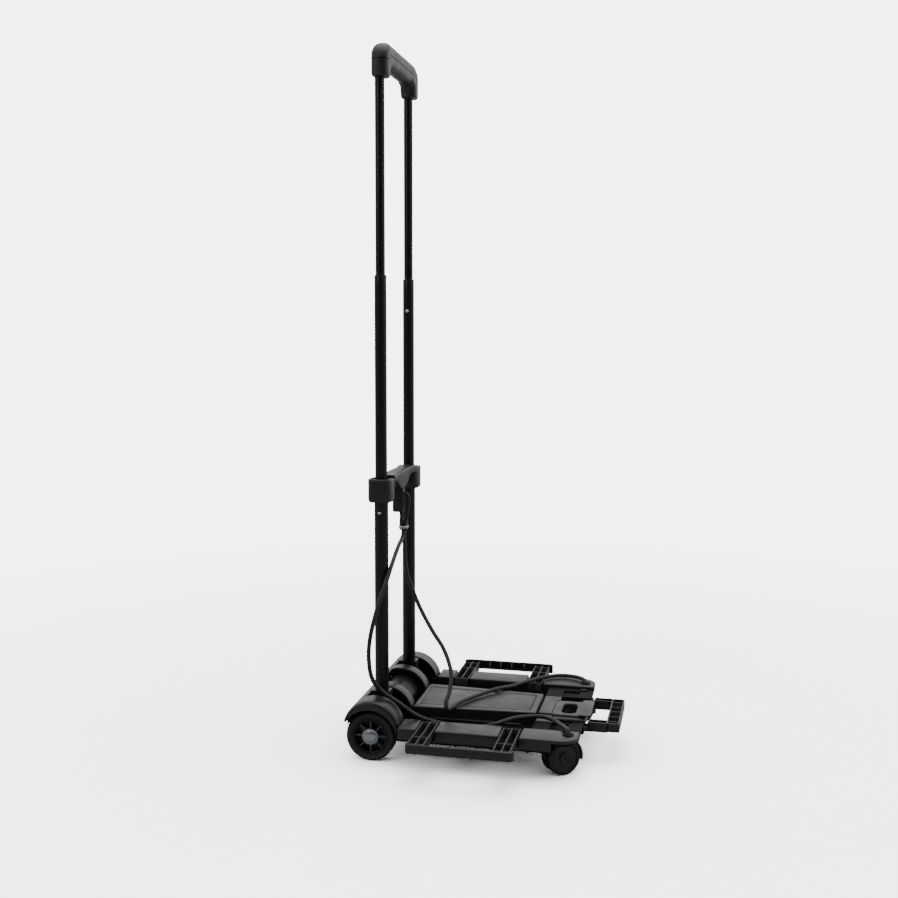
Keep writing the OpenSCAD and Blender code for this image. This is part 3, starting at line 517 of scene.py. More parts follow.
@dataclass
class Studio:
    """Pale floor, soft light and the camera."""

    eye: tuple[float, float, float] = (0.2922, -1.6025, 0.6018)
    turn: float = np.radians(12.62)
    tip: float = np.radians(6.03)
    roll: float = np.radians(0.11)
    lens: float = 45.86
    gain: float = 3.5
    bounce: float = 0.40
    white: float = 5.6
    front: float = 0.05
    behind: float = 1.15

    def camera(self) -> None:
        """Sets the camera from its place, turn, tip and roll.

        Its axes are back = (sin a cos e, -cos a cos e, sin e), right = (cos a, sin a, 0) and
        up = back x right, the last two turned by the roll.
        """
        a, e, r = self.turn, self.tip, self.roll
        back = Vector((np.sin(a) * np.cos(e), -np.cos(a) * np.cos(e), np.sin(e)))
        right = Vector((np.cos(a), np.sin(a), 0))
        up = back.cross(right)
        right, up = right * np.cos(r) + up * np.sin(r), up * np.cos(r) - right * np.sin(r)
        data = bpy.data.cameras.new("camera")
        data.lens = self.lens
        data.sensor_width = 36
        camera = bpy.data.objects.new("camera", data)
        camera.matrix_world = Matrix.Translation(self.eye) @ Matrix((right, up, back)).transposed().to_4x4()
        bpy.context.scene.collection.objects.link(camera)
        bpy.context.scene.camera = camera

    def floor(self) -> None:
        """A wide flat floor, a fine grid of quads."""
        side = np.linspace(-9, 9, 19)
        x, y = np.meshgrid(side, side)
        grid = np.stack([x, y, np.zeros_like(x)], -1).reshape(-1, 3)
        n = len(side)
        i = (np.arange(n - 1)[:, None] * n + np.arange(n - 1)[None]).ravel()
        mesh = bpy.data.meshes.new("floor")
        mesh.from_pydata(grid.tolist(), [], np.stack([i, i + 1, i + n + 1, i + n], 1).tolist())
        mesh.materials.append(self.paper())
        floor = bpy.data.objects.new("floor", mesh)
        bpy.context.scene.collection.objects.link(floor)

    def paper(self) -> bpy.types.Material:
        """Matt white paper with faint mottling, which fades into the white behind with distance.

        Returns:
            A material that is over-exposed for the camera, but not for the light it throws back.
        """
        made = bpy.data.materials.new("studio paper")
        made.use_nodes = True
        tree = made.node_tree
        tree.nodes.clear()
        place = tree.nodes.new("ShaderNodeTexCoord").outputs["Object"]
        noise = tree.nodes.new("ShaderNodeTexNoise")
        noise.inputs["Scale"].default_value = 3.0
        tree.links.new(place, noise.inputs["Vector"])
        shades = []
        for gain in (self.bounce, self.gain):
            ramp = tree.nodes.new("ShaderNodeMapRange")
            ramp.inputs["To Min"].default_value = gain * 0.985
            ramp.inputs["To Max"].default_value = gain * 1.015
            tree.links.new(noise.outputs["Fac"], ramp.inputs["Value"])
            shade = tree.nodes.new("ShaderNodeBsdfDiffuse")
            tree.links.new(ramp.outputs["Result"], shade.inputs["Color"])
            shades.append(shade.outputs[0])
        glow = tree.nodes.new("ShaderNodeEmission")
        glow.inputs["Strength"].default_value = self.white
        reach = tree.nodes.new("ShaderNodeVectorMath")
        reach.operation = "LENGTH"
        tree.links.new(place, reach.inputs[0])
        fade = tree.nodes.new("ShaderNodeMapRange")
        fade.interpolation_type = "SMOOTHSTEP"
        fade.inputs["From Min"].default_value = 0.45
        fade.inputs["From Max"].default_value = 1.9
        tree.links.new(reach.outputs["Value"], fade.inputs["Value"])
        seen = tree.nodes.new("ShaderNodeLightPath").outputs["Is Camera Ray"]
        paper = self.mixed(tree, fade.outputs["Result"], shades[1], glow.outputs[0])
        out = tree.nodes.new("ShaderNodeOutputMaterial")
        tree.links.new(self.mixed(tree, seen, shades[0], paper), out.inputs["Surface"])
        return made

    def mixed(self, tree, factor, first, second):
        """Adds a mix of two shaders and gives its output socket."""
        mix = tree.nodes.new("ShaderNodeMixShader")
        tree.links.new(factor, mix.inputs[0])
        tree.links.new(first, mix.inputs[1])
        tree.links.new(second, mix.inputs[2])
        return mix.outputs[0]

    def lamp(self, name: str, place: tuple, aim: tuple, size: float, power: float) -> None:
        """Adds a square soft light at place, turned to aim."""
        data = bpy.data.lights.new(name, "AREA")
        data.size = size
        data.energy = power
        lamp = bpy.data.objects.new(name, data)
        lamp.location = place
        lamp.rotation_euler = (Vector(aim) - Vector(place)).to_track_quat("-Z", "Y").to_euler()
        bpy.context.scene.collection.objects.link(lamp)

    def sky(self) -> None:
        """Room light by direction: dark low at the front, bright at the back and above.

        Strength is a smooth step of (y + 0.8 z), and the camera itself sees plain white.
        """
        world = bpy.data.worlds.new("room")
        bpy.context.scene.world = world
        world.use_nodes = True
        tree = world.node_tree
        back = tree.nodes["Background"]
        back.inputs["Color"].default_value = (1.0, 1.0, 1.0, 1.0)
        split = tree.nodes.new("ShaderNodeSeparateXYZ")
        tree.links.new(tree.nodes.new("ShaderNodeTexCoord").outputs["Generated"], split.inputs[0])
        rise = tree.nodes.new("ShaderNodeMath")
        rise.operation = "MULTIPLY_ADD"
        rise.inputs[1].default_value = 0.8
        tree.links.new(split.outputs["Z"], rise.inputs[0])
        tree.links.new(split.outputs["Y"], rise.inputs[2])
        step = tree.nodes.new("ShaderNodeMapRange")
        step.interpolation_type = "SMOOTHSTEP"
        step.inputs["From Min"].default_value = -0.75
        step.inputs["From Max"].default_value = 0.6
        step.inputs["To Min"].default_value = self.front
        step.inputs["To Max"].default_value = self.behind
        tree.links.new(rise.outputs[0], step.inputs["Value"])
        mix = tree.nodes.new("ShaderNodeMix")
        mix.inputs["B"].default_value = self.white
        tree.links.new(tree.nodes.new("ShaderNodeLightPath").outputs["Is Camera Ray"], mix.inputs["Factor"])
        tree.links.new(step.outputs["Result"], mix.inputs["A"])
        tree.links.new(mix.outputs["Result"], back.inputs["Strength"])

    def light(self) -> None:
        """The room, a large soft light above, and a weak one at the front for the highlights."""
        self.sky()
        self.lamp("above", (0.1, 0.1, 2.4), (0, 0, 0.1), 1.8, 16)
        self.lamp("front", (-1.3, -1.8, 1.3), (-0.1, 0, 0.4), 0.5, 5)

    def build(self) -> None:
        """Camera, floor and light."""
        self.camera()
        self.floor()
        self.light()


# ---- cords --------------------------------------------------------------------------------


@dataclass
class Cords:
    """The two elastic load cords, from the ferrule under the mast's tab to the front rails."""

    diameter: float = 0.006
    sides: int = 20
    near: tuple = (
        (-134, -3.5, 307.9), (-134, -4.2, 304), (-134, -9.8, 297.5), (-133, -36, 289.5), (-133, -66, 273),
        (-134.5, -92, 252), (-143, -110, 217), (-150, -122, 178), (-152, -123, 148),
        (-149, -117.5, 118), (-137, -106, 96), (-116, -100, 80), (-96, -96, 65),
        (-79, -93, 57), (-58, -92, 52.5), (-30, -93, 50), (0, -93, 52),
        (22, -92, 58), (42, -76, 61.5), (60, -60, 60), (80, -53, 59.5),
        (98, -62, 58.5), (110, -80, 59), (118, -99, 62.5), (123, -111, 63.5),
        (124, -115, 58.5),
    )
    far: tuple = (
        (-134, 3.5, 307.9), (-134, 3, 285), (-131, 1, 248), (-122, 4, 217),
        (-109, 2, 189), (-90, -8, 162), (-69, -20, 137), (-55, -36, 110),
        (-53, -52, 88), (-55, -67, 75), (-53, -69, 65), (-49, -58, 64),
        (-45, -40, 64.5), (-32, -10, 64.3), (-15, 19, 64.3), (2, 43, 64.5),
        (16, 63, 62), (34, 88, 62.5), (52, 113, 62), (72, 131, 62),
        (92, 137, 62), (110, 131, 62.5), (120, 121, 62.5), (124, 115, 58.5),
    )

    def cord(self, name: str, route: tuple) -> None:
        path = smooth_path(route, 8) * MM
        length = float(np.linalg.norm(np.diff(path, axis=0), axis=1).sum())
        rings = tube_rings(path, self.diameter / 2, self.sides, (0.45, 0.35, 0.82))
        shape = Shape().loft(rings)
        made = shape.piece(name + "_elastic", CORD, "base", "cord_cover", replaces=name)
        self.lay_braid(made, length)
        made.parent = None
        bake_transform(made)
        log.info("%s is %.3f m long", name, length)

    def lay_braid(self, cord: bpy.types.Object, length: float) -> None:
        """Scales the UV map so that one unit is one turn round and as much along the cord."""
        layer = cord.data.uv_layers["UVMap"]
        uv = np.empty(len(layer.data) * 2, np.float32)
        layer.data.foreach_get("uv", uv)
        uv = uv.reshape(-1, 2)
        uv[:, 1] *= length / (np.pi * self.diameter)
        layer.data.foreach_set("uv", uv.ravel())

    def build(self) -> None:
        """Both cords."""
        self.cord("near_cord", self.near)
        self.cord("far_cord", self.far)


# ---- mast ---------------------------------------------------------------------------------


@dataclass
class Tubes:
    """The six mast tubes, hollow and with rolled ends."""

    wall: float = 0.0011
    lip: float = 0.0004

    def tube(self, node: str, body: str) -> None:
        """Turns one tube: up the outside, over the rolled lip and down the bore."""
        lo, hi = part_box(node)
        r = (hi.x - lo.x) / 2
        centre = centre_of(node)
        q = np.linspace(0, np.pi, 7)
        rim_r = r - self.wall / 2 + self.wall / 2 * np.cos(q)
        rim_z = hi.z - self.lip + self.lip * np.sin(q)
        outer = np.column_stack([np.full(24, r), np.linspace(lo.z, hi.z - self.lip, 24)])
        bore = np.column_stack([np.full(2, r - self.wall), [hi.z - self.lip, lo.z]])
        profile = np.vstack([outer, np.column_stack([rim_r, rim_z])[1:-1], bore])
        shape = Shape().lathe(profile, (centre[0], centre[1], 0), 72)
        shape.piece(node + "_coat", PAINT, body, "tube_paint", replaces=node)

    def build(self) -> None:
        """All six tubes."""
        for _, side in SIDES:
            self.tube(f"{side}_lower_tube", "mast")
            self.tube(f"{side}_middle_tube", "middle_stage")
            self.tube(f"{side}_upper_tube", "handle")


@dataclass
class Grip:
    """The handle's grip: an upside-down U in two shells that meet at a groove.

    Each shell is a row of slices along Y. A slice is a closed outline in the X-Z plane, whose
    half depth at height z is d (1 - |(z - zc) / h|^p)^(1/p), with its own p above and below zc.
    """

    half: float = 0.089
    leg_in: float = 0.063
    corner: float = 0.025
    inner_corner: float = 0.010
    depth: float = 0.012
    bar_under: float = 0.953
    leg_under: float = 0.938
    seam_low: float = 0.9605
    seam_high: float = 0.968
    groove: float = 0.0005
    crown: float = 2.8
    under_bar: float = 2.6
    under_leg: float = 9.0

    def slices(self) -> tuple[Array, Array, Array]:
        """Places of the slices, with the underside's and the top's height at each.

        The underside follows a quarter circle at the inner corner; the top, one at the outer.
        """
        q = np.linspace(0, np.pi / 2, 12)
        bar = np.linspace(0, self.leg_in - self.inner_corner, 16)[:-1]
        bend_y = self.leg_in - self.inner_corner * (1 - np.sin(q))
        bend_z = self.bar_under - self.inner_corner * (1 - np.cos(q))
        drop_y = np.full(3, self.leg_in) + np.array([1, 2, 3]) * 1e-5
        drop_z = np.linspace(bend_z[-1], self.leg_under, 4)[1:]
        leg = self.leg_in + (self.half - self.leg_in) * np.sin(np.linspace(0.06, np.pi / 2, 26))
        y = np.concatenate([bar, bend_y, drop_y, leg])
        along_bar = np.full(len(bar), self.bar_under)
        along_leg = np.full(len(leg), self.leg_under)
        under = np.concatenate([along_bar, bend_z, drop_z, along_leg])
        far = np.clip(y - (self.half - self.corner), 0, self.corner * 0.985)
        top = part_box("grip_upper_shell")[1].z - self.corner + np.sqrt(self.corner**2 - far**2)
        return y, under, top

    def plan(self, y: Array) -> Array:
        """Half depth along the grip: full in the bar, drawn in at the rounded end."""
        t = np.clip((y - (self.half - 0.012)) / 0.012, 0, 1)
        return self.depth * (1 - t**2.6) ** (1 / 2.6) + 0.0008 * t

    def seam(self, y: Array) -> Array:
        """Height of the seam: low round the legs, high along the bar, with a soft step between."""
        t = np.clip((y - 0.066) / 0.012, 0, 1)
        t = t * t * (3 - 2 * t)
        return self.seam_high * (1 - t) + self.seam_low * t

    def shell(self, upper: bool) -> Shape:
        """One shell of the far half with its mirror image, as a single row of slices."""
        y, under, top = self.slices()
        d = self.plan(y)
        seam = self.seam(y)
        middle = top - 0.014
        steps = 18
        s = 0.5 - 0.5 * np.cos(np.linspace(0, np.pi, steps))
        low, high = (seam + self.groove, top) if upper else (under, seam - self.groove)
        low = np.minimum(low, high - 0.0004)
        z = low[:, None] + (high - low)[:, None] * s[None]
        leg = np.clip((y - (self.leg_in - self.inner_corner)) / self.inner_corner, 0, 1)[:, None]
        p_low = self.under_bar + self.under_leg * leg
        above = np.clip((z - middle[:, None]) / (top - middle)[:, None], 0, 1)
        below = np.clip((middle[:, None] - z) / np.maximum((middle - under)[:, None], 1e-4), 0, 1)
        x = (1 - above**self.crown) ** (1 / self.crown) * (1 - below**p_low) ** (1 / p_low)
        below_bar = np.clip((self.bar_under + 0.004 - z) / 0.014, 0, 1)
        inwards = np.clip((self.leg_in + 0.009 - y) / 0.009, 0, 1)[:, None]
        x *= 1 - below_bar * (1 - (1 - inwards**2.4 * 0.985) ** (1 / 2.4))
        x = np.maximum(x, 0.02) * d[:, None]
        depth0 = centre_of("grip_upper_shell")[0]
        front = np.stack([depth0 + x, np.broadcast_to(y[:, None], x.shape), z], -1)
        back = np.stack([depth0 - x, np.broadcast_to(y[:, None], x.shape), z], -1)[:, ::-1]
        far = np.concatenate([front, back], 1)
        near = far[1:] * np.array([1, -1, 1])
        return Shape().loft(np.concatenate([near[::-1], far]))

    def build(self) -> None:
        """Both shells."""
        for upper, node in ((True, "grip_upper_shell"), (False, "grip_lower_shell")):
            self.shell(upper).piece(node + "_skin", GRIP, "handle", "grip_plastic", 0.9, replaces=node)


@dataclass
class Collar:
    """The collar: a rounded sleeve round each lower tube and an arched bar between them."""

    half: tuple[float, float] = (0.0168, 0.0158)
    sleeve_low: float = 0.360
    sleeve_high: float = 0.393
    bar_top: float = 0.396
    corner: float = 0.009

    def sleeve(self) -> Shape:
        """The far sleeve: a soft top edge, a chamfered foot and a raised ring round the tube."""
        x0, y0 = centre_of("far_lower_tube")[:2]
        hx, hy = self.half
        outline = rounded_rect((x0 - hx, x0 + hx), (y0 - hy, y0 + hy), self.corner, 8)
        rings = [lifted(inset(outline, d), z) for d, z in (
            (0.0030, self.sleeve_low), (0.0014, self.sleeve_low + 0.0006),
            (0.0004, self.sleeve_low + 0.0026), (0.0, self.sleeve_low + 0.0055),
            (0.0, self.sleeve_high - 0.0022), (0.0004, self.sleeve_high - 0.0010),
            (0.0013, self.sleeve_high - 0.0002), (0.0024, self.sleeve_high),
            (0.0046, self.sleeve_high - 0.0001), (0.0052, self.sleeve_high - 0.0016),
        )]
        return Shape().loft(np.array(rings))

    def bar(self) -> Shape:
        """The bar: slices along Y, each a rounded rectangle whose underside follows the arch.

        The underside drops from the sleeves to the middle by a smooth step.
        """
        y = np.linspace(-0.0635, 0.0635, 61)
        t = np.clip((np.abs(y) - 0.010) / 0.034, 0, 1)
        under = 0.370 + (0.3858 - 0.370) * t * t * (3 - 2 * t)
        deep = 0.0115 + 0.0035 * np.clip((np.abs(y) - 0.03) / 0.03, 0, 1)
        cx = centre_of("far_lower_tube")[0] + 0.0025
        rings = []
        for place, low, d in zip(y, under, deep):
            flat = rounded_rect((cx - d, cx + d - 0.001), (low, self.bar_top), 0.0032, 4)
            rings.append(np.column_stack([flat[:, 0], np.full(len(flat), place), flat[:, 1]]))
        return Shape().loft(np.array(rings))

    def build(self) -> None:
        """One moulding: two sleeves and the bar."""
        shape = self.bar().add_pair(self.sleeve())
        shape.piece("collar_moulding", GRIP, "mast", "grip_plastic", replaces="collar")


@dataclass
class Tab:
    """The tab under the bar, the cord sling that it holds, and the ferrule below with its band."""

    sling_r: float = 0.0026

    def tab(self) -> None:
        """The tab: a flat plate with soft edges and a shallow rib down each side of its front."""
        lo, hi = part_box("cord_tab")
        outline = rounded_rect((lo.x, hi.x), (lo.z, hi.z), 0.0030, 6)
        shape = Shape().prism(outline, lo.y, hi.y, 0.0014)
        back = hi.x - 0.001
        for y in (lo.y + 0.0022, hi.y - 0.0022):
            low = (back, y - 0.0008, lo.z + 0.004)
            shape.brick(low, (hi.x + 0.0008, y + 0.0008, hi.z - 0.012), 0.0005)
        shape.brick((back, -0.0034, hi.z - 0.018), (hi.x + 0.0007, 0.0034, hi.z - 0.0105), 0.0006)
        shape.piece("cord_tab_moulding", MOULDING, "mast", "moulding_dark", replaces="cord_tab")

    def sling(self) -> None:
        """The short loop of cord: up from the ferrule, over into the tab, and down out of it."""
        lo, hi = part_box("cord_tab")
        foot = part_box("ferrule")[1].z
        loop = [
            (-130.5, 0, 1000 * foot), (-130.2, 0, 326), (-129, 0, 334), (-127.0, 0, 345),
            (-126.8, 0, 354), (-128.6, 0, 359.6), (-131.8, 0, 361.4), (1000 * hi.x - 1, 0, 361.2),
        ]
        tail = [(-138, 0, 1000 * foot - 0.5), (-138, 0, 328), (-138, 0, 1000 * lo.z + 0.5)]
        shape = Shape()
        for route in (loop, tail):
            shape.loft(tube_rings(smooth_path(route, 8) * MM, self.sling_r, 16, (0, 1, 0)))
        shape.uvs = [(u, 3 * v) for u, v in shape.uvs]
        shape.piece("cord_loop", CORD, "mast", "cord_cover", replaces="cord_sling")

    def ferrule(self) -> None:
        """A dark oval sleeve with two pressed grooves, and the bright band near its foot."""
        lo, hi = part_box("ferrule")
        cx = (lo.x + hi.x) / 2
        hx, hy = (hi.x - lo.x) / 2, (hi.y - lo.y) / 2
        a = np.linspace(0, 2 * np.pi, 36, endpoint=False)
        steps = np.array([0.0, 0.02, 0.10, 0.22, 0.30, 0.38, 0.50, 0.62, 0.70, 0.78, 0.90, 0.98, 1.0])
        pull = np.array([0.84, 0.93, 1.0, 1.0, 0.93, 1.0, 1.0, 1.0, 0.93, 1.0, 1.0, 0.93, 0.84])
        z = lo.z + (hi.z - lo.z) * steps
        x = cx + hx * pull[:, None] * np.cos(a)
        y = hy * pull[:, None] * np.sin(a)
        rings = np.stack([x, y, np.broadcast_to(z[:, None], x.shape)], -1)
        Shape().loft(rings).piece("cord_sleeve", WHEEL, "mast", "moulding_dark", replaces="ferrule")
        z = lo.z + np.array([0.0022, 0.0028, 0.0056, 0.0062])
        out = np.array([0.0001, 0.0006, 0.0006, 0.0001])[:, None]
        x = cx + (hx + out) * np.cos(a)
        y = (hy + out) * np.sin(a)
        rings = np.stack([x, y, np.broadcast_to(z[:, None], x.shape)], -1)
        Shape().loft(rings).piece("cord_band", CRIMP, "mast", "steel")

    def build(self) -> None:
        """Tab, sling and ferrule."""
        self.tab()
        self.sling()
        self.ferrule()


# ---- base ---------------------------------------------------------------------------------


@dataclass
class Rails:
    """The side rails: three raised covers each, with gaps for the wing's arms."""

    top_edge: float = 0.0022

    def stretches(self) -> list[tuple[float, float]]:
        """The X ranges of the rear and the middle cover."""
        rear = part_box("far_rail")[0].x
        return [(rear, -0.0821), (-0.0554, 0.0324)]

    def rail(self, side: int, name: str) -> None:
        """Builds one rail: rear, middle and front covers and the low walls that join them."""
        lo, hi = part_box("far_rail")
        shape = Shape()
        for x0, x1 in self.stretches():
            outline = rounded_rect((x0, x1), (lo.y, hi.y), 0.0026, 4)
            shape.slab(outline, 0.0422, hi.z, self.top_edge)
        front = corner_rounded(
            [(0.0606, lo.y), (hi.x, lo.y), (hi.x, hi.y), (0.0606, hi.y)], [0.0026, 0.005, 0.022, 0.0026], 8
        )
        shape.slab(front, 0.0535, hi.z, self.top_edge, 0.0008)
        shape.brick((0.0608, hi.y - 0.0028, 0.0415), (0.104, hi.y - 0.0002, 0.0560), 0.0008)
        shape.brick((0.0608, lo.y + 0.0002, 0.0432), (0.0700, hi.y - 0.001, 0.0555), 0.0008)
        shape.brick((lo.x + 0.001, hi.y - 0.0026, 0.0420), (0.062, hi.y - 0.0003, 0.0437), 0.0005)
        shape.sided(side).piece(name + "_cover", DECK, "base", "moulding_grey", 0.6, replaces=name)

    def build(self) -> None:
        """Both rails."""
        for side, name in SIDES:
            self.rail(side, name + "_rail")


@dataclass
class Deck:
    """The deck: bevelled border round a sunk panel, on its own walls, and the panel's cover."""

    border_fall: float = 0.0014
    panel_z: float = 0.0603
    front_half: float = 0.043
    panel_front_half: float = 0.0335
    gap: float = 0.001

    def trapezoid(self, x: tuple, half: tuple, r: float) -> Array:
        """Round-cornered outline, wider at the rear."""
        corners = [(x[0], -half[0]), (x[1], -half[1]), (x[1], half[1]), (x[0], half[0])]
        return corner_rounded(corners, [r] * 4, 6)

    def build(self) -> None:
        """The border with its walls and side ledges, and the sunk panel."""
        lo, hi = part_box("deck")
        outer = self.trapezoid((lo.x, hi.x), (hi.y, self.front_half), 0.003)
        insert_lo, insert_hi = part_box("deck_insert")
        ends = (insert_lo.x - self.gap, insert_hi.x + self.gap)
        inner = self.trapezoid(ends, (insert_hi.y + self.gap, self.panel_front_half), 0.003)
        q = np.linspace(0, np.pi / 2, 5)
        edge = 0.0016
        rings = [lifted(outer, lo.z)]
        rings += [lifted(inset(outer, edge * (1 - np.cos(a))), hi.z - edge * (1 - np.sin(a))) for a in q]
        rings += [
            lifted(inset(inner, -0.0030), hi.z), lifted(inset(inner, -0.0026), hi.z - 0.0001),
            lifted(inner, hi.z - self.border_fall), lifted(inset(inner, 0.0006), self.panel_z - 0.0013),
        ]
        shape = Shape().loft(np.array(rings))
        ledge = Shape().brick((-0.082, 0.0475, 0.0431), (0.050, 0.0535, 0.0462), 0.0008)
        shape.add_pair(ledge)
        shape.piece("deck_cover", DECK, "base", "moulding_grey", 0.6, replaces="deck")
        panel = Shape().slab(inset(inner, 0.0008), insert_lo.z, self.panel_z, 0.0005)
        panel.piece("deck_panel", DECK, "base", "moulding_grey", 0.6, replaces="deck_insert")


@dataclass
class Front:
    """The low front plateau, the catch block with its finger hole, and the front lip."""

    def plateau(self) -> None:
        """Plate with a raised middle ledge and a guide for each of the extension's arms."""
        lo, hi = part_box("front_plateau")
        shape = Shape()
        shape.brick((lo.x, lo.y, 0.0510), (0.095, hi.y, 0.0540), 0.0010)
        shape.brick((0.090, -0.0390, 0.0510), (hi.x, -0.0301, 0.0540), 0.0008)
        shape.brick((0.090, 0.0301, 0.0510), (hi.x, 0.0390, 0.0540), 0.0008)
        shape.brick((lo.x, -0.026, 0.0535), (0.0899, 0.026, 0.0560), 0.0012)
        for y in (-0.039, 0.039):
            shape.brick((lo.x, y - 0.001, 0.0430), (hi.x, y + 0.001, 0.0530), 0.0004)
        shape.piece("front_step", DECK, "base", "moulding_grey", 0.6, replaces="front_plateau")

    def catch(self) -> None:
        """Raised block, its rounded finger hole right through, and the lip over the extension."""
        lo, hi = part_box("catch_block")
        block = rounded_rect((lo.x, 0.133), (-0.030, 0.030), 0.006, 8)
        hole = rounded_rect((0.1025, 0.123), (-0.021, 0.021), 0.008, 8)
        shape = Shape().holed_slab(block, hole, lo.z, 0.0565, 0.0018)
        shape.brick((0.1305, -0.029, 0.0431), (0.1385, 0.029, 0.0580), 0.0012)
        lip = rounded_rect((0.129, hi.x), (-0.034, 0.034), 0.004, 5)
        shape.slab(lip, 0.0576, hi.z, 0.0008, 0.0004)
        shape.piece("catch_cover", DECK, "base", "moulding_grey", 0.6, replaces="catch_block")

    def build(self) -> None:
        """Plateau and catch."""
        self.plateau()
        self.catch()


